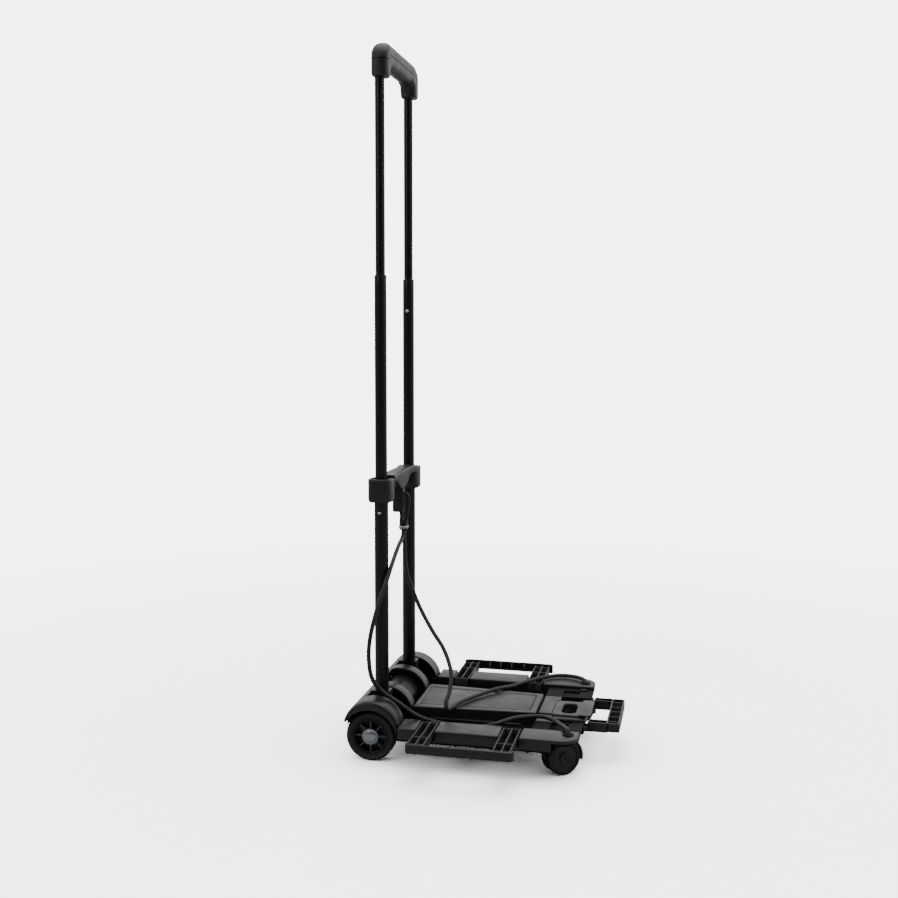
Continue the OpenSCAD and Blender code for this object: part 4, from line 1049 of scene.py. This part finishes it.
@dataclass
class RearCover:
    """The rear cover: a round-backed shell, its fenders, ears and the drum in the middle.

    A shell is a sector of a ring in the X-Z plane, drawn out along Y. Its ends at the rear and the
    front are cut at fixed heights.
    """

    centre: tuple[float, float] = (-0.148, 0.0477)
    radius: float = 0.041
    skin: float = 0.0025
    rear_z: float = 0.0575
    front_z: float = 0.0435
    arch_centre: tuple[float, float] = (-0.1505, 0.0365)
    arch_radius: float = 0.0395
    well_radius: float = 0.0364
    ear: tuple[float, float] = (0.034, 0.054)
    ear_skin: float = 0.0045
    fillet: float = 0.005
    drum_radius: float = 0.0300

    def sector(
        self, r_out: float, r_in: float, x_from: float = -0.2, x_to: float = -0.1, steps: int = 48,
    ) -> Array:
        """Outline of a ring's sector over an X range, cut at the cover's lower edges.

        Args:
            r_out: outer radius.
            r_in: inner radius.
            x_from: rear end of the range; as given, it lies behind the cover.
            x_to: front end; as given, it lies in front of the cover.
            steps: points on each arc.
        Returns:
            The outer arc from the front to the rear, then the inner one back.
        """
        cx, cz = self.centre
        a_rear = np.pi - np.arcsin((self.rear_z - cz) / r_out)
        a_front = np.arcsin((self.front_z - cz) / r_out)
        a0 = min(a_rear, np.arccos(np.clip((x_from - cx) / r_out, -1, 1)))
        a1 = max(a_front, np.arccos(np.clip((x_to - cx) / r_out, -1, 1)))
        a = np.linspace(a1, a0, steps)
        outer = np.column_stack([cx + r_out * np.cos(a), cz + r_out * np.sin(a)])
        inner = np.column_stack([cx + r_in * np.cos(a), cz + r_in * np.sin(a)])[::-1]
        return np.vstack([outer, inner])

    def fender_side(self) -> Array:
        """Outline of the fender's outer face: the drum's disc less the wheel arch."""
        cx, cz = self.centre
        ax, az = self.arch_centre
        r = self.radius - 0.0003
        a = np.linspace(np.radians(-5), np.radians(160.5), 48)
        outer = np.column_stack([cx + r * np.cos(a), cz + r * np.sin(a)])
        b = np.linspace(np.radians(149.5), np.radians(6.5), 48)
        inner = np.column_stack([ax + self.arch_radius * np.cos(b), az + self.arch_radius * np.sin(b)])
        return np.vstack([outer, inner])

    def shell(self) -> None:
        """The grey skin: rear strip, two fenders and two ears."""
        outer_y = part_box("rear_cover")[1].y
        slot = -0.163
        r_in = self.radius - self.skin
        shape = Shape().prism(self.sector(self.radius, r_in, x_to=slot), -0.101, 0.101, 0.0006)
        part = Shape()
        self.fender(part, self.sector(self.radius, r_in), outer_y)
        ear = self.sector(self.radius, self.radius - self.ear_skin, x_from=slot - 0.001)
        shape.add_pair(part.prism(ear, *self.ear, 0.0010))
        shape.piece("rear_cover_skin", DECK, "base", "moulding_grey", 0.5, replaces="rear_cover")

    def band(self, part: Shape, outline: Array, places: Array, pulls: Array) -> None:
        """A curved strip, skinned along its arc.

        Each section has the outline's outer edge at every place, drawn in towards the cover's centre
        by that place's pull, and the inner edge at the last and the first place.

        Args:
            part: the shape it is added to.
            outline: outer edge, then inner edge back to the start, in the X-Z plane.
            places: where the outer edge's points lie along Y.
            pulls: how far inside the cover's radius the outer edge lies at each place.
        """
        half = len(outline) // 2
        away = outline[:half] - self.centre
        far = np.linalg.norm(away, axis=1)[:, None]
        keep = np.minimum(far, self.radius - pulls)[..., None]
        flat = np.array(self.centre) + (away / far)[:, None] * keep
        top = np.stack([flat[..., 0], np.broadcast_to(places, flat.shape[:2]), flat[..., 1]], -1)
        under = np.repeat(outline[half:][::-1][:, None], 2, axis=1)
        ends = np.broadcast_to(places[[-1, 0]], under.shape[:2])
        under = np.stack([under[..., 0], ends, under[..., 1]], -1)
        part.loft(np.concatenate([top, under], axis=1))

    def fender(self, part: Shape, sector: Array, outer_y: float) -> None:
        """A fender: its skin, rounded into an outer face that frames the wheel."""
        q = np.linspace(0, np.pi / 2, 7)
        places = np.append(0.100, outer_y - self.fillet * (1 - np.sin(q)))
        pulls = np.minimum(np.append(0.0, self.fillet * (1 - np.cos(q))), self.skin * 0.96)
        self.band(part, sector, places, pulls)
        places = outer_y - np.array([0.0060, 0.0042, 0.0016, 0.0004, 0.0])
        pulls = np.array([0.0012, 0.0012, 0.0024, 0.0040, 0.0052])
        self.band(part, self.fender_side(), places, pulls)

    def ears_inside(self) -> None:
        """Near-black webs in the ears and fenders, which paint in the shade inside them, and the middle drum
        with a ring at each end.
        """
        cx, cz = self.centre
        shape = Shape()
        a = np.linspace(np.radians(-6), np.radians(168), 40)
        for y0, y1 in ((0.0375, 0.0395), (0.0485, 0.0505)):
            r = self.radius - 0.0042
            disc = np.column_stack([cx + r * np.cos(a), cz + r * np.sin(a)])
            disc = np.clip(disc, [-0.1622, self.front_z], [-0.1078, 1])
            for side in (-1, 1):
                shape.prism(disc, *sorted((side * y0, side * y1)), 0.0003)
        r = self.radius - 0.0022
        a = np.linspace(np.radians(-5), np.radians(164), 40)
        arc = np.column_stack([cx + r * np.cos(a), cz + r * np.sin(a)])
        axle = np.array(centre_of("rear_axle"))[[0, 2]]
        b = np.linspace(np.radians(150), np.radians(14), 40)[:, None]
        well = axle + self.well_radius * np.hstack([np.cos(b), np.sin(b)])
        for side in (-1, 1):
            shape.prism(np.vstack([arc, well]), *sorted((side * 0.1012, side * 0.1030)), 0.0003)
        shape.piece("ear_webs", PAINTED_SHADE, "base", "moulding_dark", 0.5)
        drum = Shape()
        lo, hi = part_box("centre_drum")
        outline = self.sector(self.drum_radius, self.drum_radius - 0.003)
        drum.prism(outline, lo.y, hi.y, 0.0006)
        for y in (lo.y + 0.004, hi.y - 0.004):
            ring = self.sector(self.drum_radius + 0.0008, self.drum_radius - 0.001)
            drum.prism(ring, y - 0.0008, y + 0.0008, 0.0003)
        # The drum takes the near-black wheel finish: it is a dark part, and the finish also paints in the
        # shade of its recess between the ears.
        drum.piece("centre_drum_skin", WHEEL, "base", "moulding_dark", 0.5, replaces="centre_drum")

    def build(self) -> None:
        """Skin, webs and drum."""
        self.shell()
        self.ears_inside()


@dataclass
class Pans:
    """Near-black floors under the rear cover and the front slots, and aprons inside the rear edge: painted
    shade, dark sheets put where the base shows only shade.
    """

    def build(self) -> None:
        """Builds the floors and the aprons as one moulding."""
        shape = Shape()
        rear = corner_rounded(
            [(-0.150, -0.092), (-0.117, -0.092), (-0.117, -0.127), (-0.1065, -0.127),
             (-0.1065, 0.127), (-0.117, 0.127), (-0.117, 0.092), (-0.150, 0.092)], [0.001] * 8, 3,
        )
        shape.slab(rear, 0.0400, 0.0432, 0.0006)
        for side in (-1, 1):
            y = sorted((side * 0.0935, side * 0.1265))
            shape.brick((-0.1162, y[0], 0.0425), (-0.1075, y[1], 0.0560), 0.0008)
            y = sorted((side * 0.0310, side * 0.0560))
            shape.brick((0.0950, y[0], 0.0405), (0.1365, y[1], 0.0425), 0.0005)
            y = sorted((side * 0.0560, side * 0.0990))
            shape.brick((0.1340, y[0], 0.0500), (0.1384, y[1], 0.0545), 0.0008)
        shape.brick((-0.1836, -0.1240, 0.0522), (-0.1824, 0.1240, 0.0600), 0.0004)
        shape.brick((-0.1822, -0.0972, 0.0480), (-0.1810, 0.0972, 0.0600), 0.0004)
        shape.piece("floor_pans", PAINTED_SHADE, "base", "moulding_dark", 0.6)


# ---- drawers ------------------------------------------------------------------------------


@dataclass
class Wings:
    """The pull-out wings: a wall with round corners, gussets and a lip, on two open ribbed arms."""

    arms: tuple = ((-0.0805, -0.0575), (0.034, 0.058))
    gussets: tuple = (-0.0405, -0.0230, -0.0050, 0.0155)
    ends: tuple = (-0.0815, 0.063)
    returns: float = 0.0090
    wall: float = 0.0030

    def wall_outline(self, y_out: float) -> Array:
        """Outline of the wall seen from above: a flat U with round outer and inner corners."""
        y0 = y_out - self.returns
        curves = []
        for w, r in ((0.0, 0.0065), (self.wall, 0.0035)):
            x0, x1, y1 = self.ends[0] + w, self.ends[1] - w, y_out - w
            corners = [(x0, y0), (x1, y0), (x1, y1), (x0, y1)]
            curves.append(corner_rounded(corners, [1e-4, 1e-4, r, r], 7))
        outer, inner = curves
        return np.vstack([outer[8:], outer[7:8], inner[7:8], inner[8:][::-1]])

    def wing(self, side: int, name: str) -> None:
        """Builds one wing: wall and lip, then gussets and arms, then the arms' floors, near-black sheets of
        painted shade.
        """
        lo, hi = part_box("far_wing")
        z0, z1 = 0.047, hi.z
        x0, x1 = self.ends
        wall = Shape().slab(self.wall_outline(hi.y), z0, z1, 0.0010, 0.0006)
        y_lip = hi.y - self.returns - 0.0012
        wall.brick((x0 + 0.001, y_lip, z0 + 0.0001), (x1 - 0.001, hi.y - 0.002, z0 + 0.0016), 0.0005)
        wall.sided(side).piece(name + "_wall", MOULDING, name, "moulding_grey", 0.6, replaces=name)
        ribs = Shape()
        y_wall = hi.y - self.wall + 0.0008
        for x in self.gussets:
            fin = np.array([(y_wall, z0 + 0.001), (y_wall, z1 - 0.0012), (hi.y - 0.0070, z1 - 0.0020),
                            (hi.y - 0.0102, z1 - 0.0060), (hi.y - 0.0102, z0 + 0.001)])[::-1]
            ribs.prism(fin, x, x + 0.0014, 0.0003, "x")
        for start, end in self.arms:
            self.arm(ribs, start, end, lo.y, y_wall)
        # Gussets and arm ribs take a light grey: painted highlight along their tops.
        ribs.sided(side).piece(name + "_ribs", RIB_HIGHLIGHT, name, "moulding_grey", 0.6)
        floor = Shape()
        for start, end in self.arms:
            x0, x1 = start + 0.0004, end - 0.0004
            floor.brick((x0, lo.y + 0.0004, 0.0441), (x1, hi.y - 0.0110, 0.0462), 0.0004)
            floor.brick((x0, hi.y - 0.0115, 0.0475), (x1, y_wall - 0.001, 0.0490), 0.0004)
        floor.sided(side).piece(name + "_arm_floors", PAINTED_SHADE, name, "moulding_grey", 0.6)

    def arm(self, ribs: Shape, x0: float, x1: float, y0: float, y1: float) -> None:
        """An arm: three thin long ribs and cross ribs."""
        z0, z1 = 0.0445, 0.0575
        for x in (x0, (x0 + x1) / 2 - 0.0006, x1 - 0.0014):
            ribs.brick((x, y0, z0), (x + 0.0014, y1 - 0.0090, z1), 0.0004)
            ribs.brick((x, y1 - 0.0095, 0.0478), (x + 0.0014, y1, z1), 0.0004)
        for y in (y0, 0.1610, y1 - 0.0105):
            ribs.brick((x0, y, z0), (x1, y + 0.0013, z1 - 0.0006), 0.0004)

    def build(self) -> None:
        """Both wings."""
        for side, name in SIDES:
            self.wing(side, name + "_wing")


@dataclass
class Extension:
    """The front extension: a ribbed front bar on two arms round an open window."""

    bar: float = 0.0185

    def build(self) -> None:
        """Builds the frame, its ribs in a light grey of painted highlight, and the pocket floors in a
        near-black of painted shade.
        """
        lo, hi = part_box("front_extension")
        z0, z1 = 0.045, hi.z
        back = hi.x - self.bar
        wall = 0.0024
        frame = Shape()
        outer = rounded_rect((back, hi.x), (lo.y, hi.y), 0.004, 7)
        hole = rounded_rect((back + 0.0022, hi.x - wall), (lo.y + wall, hi.y - wall), 0.0025, 7)
        frame.holed_slab(outer, hole, z0, z1, 0.0007)
        arm = Shape()
        arm.brick((0.144, hi.y - wall, z0), (back + 0.001, hi.y, z1), 0.0007)
        arm.brick((0.144, 0.041, z0), (back + 0.001, 0.0432, z1), 0.0007)
        arm.brick((0.144, 0.0415, z0), (0.1462, hi.y - 0.0004, z1 - 0.0003), 0.0007)
        arm.brick((0.121, 0.0410, 0.0435), (0.146, 0.0430, 0.0504), 0.0006)
        arm.brick((0.121, hi.y - 0.002, 0.0435), (0.146, hi.y, 0.0504), 0.0006)
        arm.brick((0.121, 0.0410, 0.0435), (0.123, hi.y, 0.0504), 0.0006)
        frame.add_pair(arm)
        ribs = Shape()
        for y in (-0.042, -0.021, 0.000, 0.021, 0.042):
            low = (back + 0.001, y - 0.0007, z0 + 0.001)
            ribs.brick(low, (hi.x - 0.001, y + 0.0007, z1 - 0.0008), 0.0004)
        ribs.piece("extension_ribs", RIB_HIGHLIGHT, "extension", "moulding_grey", 0.6)
        frame.piece(
            "extension_frame", MOULDING, "extension", "moulding_grey", 0.6, replaces="front_extension",
        )
        floor = Shape()
        low = (back + 0.001, lo.y + 0.001, z0 + 0.0002)
        floor.brick(low, (hi.x - 0.001, hi.y - 0.001, z0 + 0.0020), 0.0004)
        for y0, y1 in ((-0.0545, -0.0415), (0.0415, 0.0545)):
            floor.brick((0.1215, y0, 0.0436), (back + 0.002, y1, 0.0458), 0.0004)
        floor.piece("extension_floor", PAINTED_SHADE, "extension", "moulding_grey", 0.6)


# ---- wheels -------------------------------------------------------------------------------


@dataclass
class RearWheels:
    """The rear wheels: ribbed tyre, spoked rim and domed hub cap."""

    spokes: int = 8
    turns: int = 96
    bead_radius: float = 0.0249
    spoke_wide: tuple[float, float] = (0.0011, 0.0007)

    def tyre_profile(self, r: float, r_in: float, half: float) -> Array:
        """Tread with two grooves, rounded shoulders and a raised bead on each wall."""
        side = np.array([
            (r_in, -half + 0.0030), (r_in + 0.0006, -half + 0.0012), (r_in + 0.0018, -half + 0.0008),
            (r_in + 0.0026, -half + 0.0016), (r_in + 0.0040, -half + 0.0010), (r - 0.0036, -half),
            (r - 0.0016, -half + 0.0007), (r - 0.0005, -half + 0.0020), (r, -half + 0.0040),
            (r, -half + 0.0068), (r - 0.0009, -half + 0.0072), (r - 0.0009, -half + 0.0082),
            (r, -half + 0.0086),
        ])
        return np.vstack([side, side[::-1] * (1, -1)])

    def rim_shape(self, node: str) -> Shape:
        """Rim ring, hub barrel and the thin web between them, drawn about +Z."""
        r = size_of(node)[0] / 2
        ring = np.array([
            (r, -0.009), (r, 0.009), (r - 0.0012, 0.0094), (r - 0.0030, 0.0086),
            (r - 0.0034, 0.0020), (r - 0.0034, -0.0080), (r - 0.0022, -0.0092),
        ])
        shape = Shape().lathe(ring, (0, 0, 0), self.turns)
        hub = np.array([(0.0042, -0.0098), (0.0108, -0.0098), (0.0112, -0.0090), (0.0112, 0.0082),
                        (0.0104, 0.0089), (0.0042, 0.0089)])
        shape.lathe(hub, (0, 0, 0), 48)
        web = np.array([(0.0100, -0.0016), (r - 0.0030, -0.0016), (r - 0.0030, 0.0002), (0.0100, 0.0002)])
        return shape.lathe(web, (0, 0, 0), self.turns)

    def spoke_shape(self, node: str) -> Shape:
        """Thin spokes that taper outwards, drawn about +Z."""
        r = size_of(node)[0] / 2
        shape = Shape()
        for k in range(self.spokes):
            spoke = Shape()
            wide_in, wide_out = self.spoke_wide
            outline = corner_rounded(
                [(0.0095, -wide_in), (r - 0.0028, -wide_out), (r - 0.0028, wide_out), (0.0095, wide_in)],
                [0.0004] * 4, 3,
            )
            spoke.slab(outline, -0.0010, 0.0076, 0.0004)
            spoke.turned(Matrix.Rotation(k * 2 * np.pi / self.spokes, 4, "Z"))
            shape.add(spoke)
        return shape

    def cap_profile(self) -> Array:
        """A low flange that rises to a dome with a small flat."""
        a = np.linspace(0, 1, 14)
        dome = np.column_stack([0.0098 * np.cos(a * np.pi / 2), 0.0012 + 0.0030 * np.sin(a * np.pi / 2)])
        foot = np.array([(0.0108, 0.0), (0.0114, 0.0004), (0.0114, 0.0010), (0.0104, 0.0013)])
        return np.vstack([[(1e-5, 0.0)], foot, dome[:-1], [(1e-5, 0.0042)]])

    def build(self) -> None:
        """Both wheels, laid on their axle."""
        for side, name in SIDES:
            body = name + "_wheel"
            lay = Matrix.Rotation(-side * np.pi / 2, 4, "X")
            lo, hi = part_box(name + "_tyre")
            middle = centre_of(name + "_tyre")
            half = (hi.y - lo.y) / 2
            section = self.tyre_profile((hi.x - lo.x) / 2, self.bead_radius, half)
            tyre = Shape().lathe(section, (0, 0, 0), self.turns)
            tyre.turned(lay, middle).piece(
                name + "_wheel_tyre", RUBBER, body, "tyre_rubber", 0.6, replaces=name + "_tyre",
            )
            rim = self.rim_shape(name + "_rim").turned(lay, middle)
            rim.piece(name + "_wheel_rim", WHEEL, body, "wheel_plastic", 0.6, replaces=name + "_rim")
            spokes = self.spoke_shape(name + "_rim").turned(lay, middle)
            # The spokes' light grey is painted highlight: the light caught on their edges.
            spokes.piece(name + "_wheel_spokes", SPOKE_HIGHLIGHT, body, "wheel_plastic", 0.6)
            cap_lo, cap_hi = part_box(name + "_hub_cap")
            at = (middle[0], cap_lo.y if side > 0 else cap_hi.y, middle[2])
            cap = Shape().lathe(self.cap_profile(), (0, 0, 0), 64, closed=False).turned(lay, at)
            cap.piece(name + "_wheel_cap", CAP, body, "steel", 0.7, replaces=name + "_hub_cap")


@dataclass
class Casters:
    """The twin-wheel casters' four grooved wheels. Their hoods and axles keep their CAD shapes."""

    yaw: float = np.radians(38)
    stem: tuple[float, float] = (0.123, 0.094)
    trail: float = 0.013
    wheel_r: float = 0.0245
    wheel_mid: float = 0.0081
    half_width: float = 0.0045

    def profile(self) -> Array:
        """Wheel section about its axis: hub ring, dished wall, shoulder and crowned tread."""
        r, h = self.wheel_r, self.half_width
        out = np.array([
            (0.0031, -h + 0.0010), (0.0052, -h + 0.0008), (0.0058, -h), (0.0076, -h),
            (0.0082, -h + 0.0006), (0.0086, -h + 0.0018), (0.0100, -h + 0.0019),
            (r - 0.0066, -h + 0.0014), (r - 0.0060, -h + 0.0002), (r - 0.0052, -h),
            (r - 0.0048, -h + 0.0008), (r - 0.0042, -h + 0.0008), (r - 0.0038, -h + 0.0001),
            (r - 0.0022, -h + 0.0001), (r - 0.0009, -h + 0.0009), (r - 0.0002, -h + 0.0022),
        ])
        return np.vstack([out, [(r, 0.0)], out[::-1] * (1, -1)])

    def build(self) -> None:
        """Four wheels."""
        for side, name in SIDES:
            turn = Matrix.Rotation(-side * self.yaw, 4, "Z")
            heading = np.array(turn.to_3x3()) @ np.array([1.0, 0, 0])
            across = np.array(turn.to_3x3()) @ np.array([0, 1.0, 0])
            axle = np.array([self.stem[0], side * self.stem[1], 0]) - self.trail * heading
            axle[2] = self.wheel_r
            for which, sign in (("outer", side), ("inner", -side)):
                lay = turn @ Matrix.Rotation(-sign * np.pi / 2, 4, "X")
                at = axle + sign * self.wheel_mid * across
                wheel = Shape().lathe(self.profile(), (0, 0, 0), 72).turned(lay, tuple(at))
                node = f"{name}_caster_wheel_{which}"
                body = f"{name}_caster_{which}_wheel"
                wheel.piece(node + "_tread", DISC, body, "wheel_plastic", 0.5, replaces=node)


# ---- CAD pieces that stay -----------------------------------------------------------------


@dataclass
class KeptPieces:
    """CAD nodes whose shape is right: each gets its finish in place of the plain colour."""

    # Chassis, caster mounts, hinge brackets and grommets take the near-black painted shade; the middle
    # bushes take the light grey painted highlight of the ribs.
    finishes: dict = field(default_factory=lambda: {
        "chassis": PAINTED_SHADE, "near_caster_mount": PAINTED_SHADE, "far_caster_mount": PAINTED_SHADE,
        "near_hinge_bracket": PAINTED_SHADE, "far_hinge_bracket": PAINTED_SHADE, "near_foot": MOULDING,
        "far_foot": MOULDING, "pivot_pins": STEEL, "rear_axle": STEEL, "chassis_screws": STEEL,
        "cord_grommets": PAINTED_SHADE, "middle_bushes": RIB_HIGHLIGHT, "near_button": STEEL, "far_button": STEEL,
        "near_caster_hood": MOULDING, "far_caster_hood": MOULDING, "near_caster_axle": WHEEL,
        "far_caster_axle": WHEEL,
    })

    def build(self, nodes: dict) -> None:
        """Puts each node's finish in all of its material slots."""
        for node, finish in self.finishes.items():
            for slot in nodes[node].material_slots:
                slot.material = finish.material()
            log.info("%s keeps its CAD shape, with %s", node, finish.name)


def main() -> None:
    """Builds the studio, then each sub-assembly in turn."""
    logging.basicConfig(level=logging.INFO, format="%(name)s: %(message)s")
    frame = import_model()
    Studio().build()
    Cords().build()
    Tubes().build()
    Grip().build()
    Collar().build()
    Tab().build()
    Rails().build()
    Deck().build()
    Front().build()
    RearCover().build()
    Pans().build()
    Wings().build()
    Extension().build()
    RearWheels().build()
    Casters().build()
    KeptPieces().build(frame["nodes"])


if __name__ == "__main__":
    main()
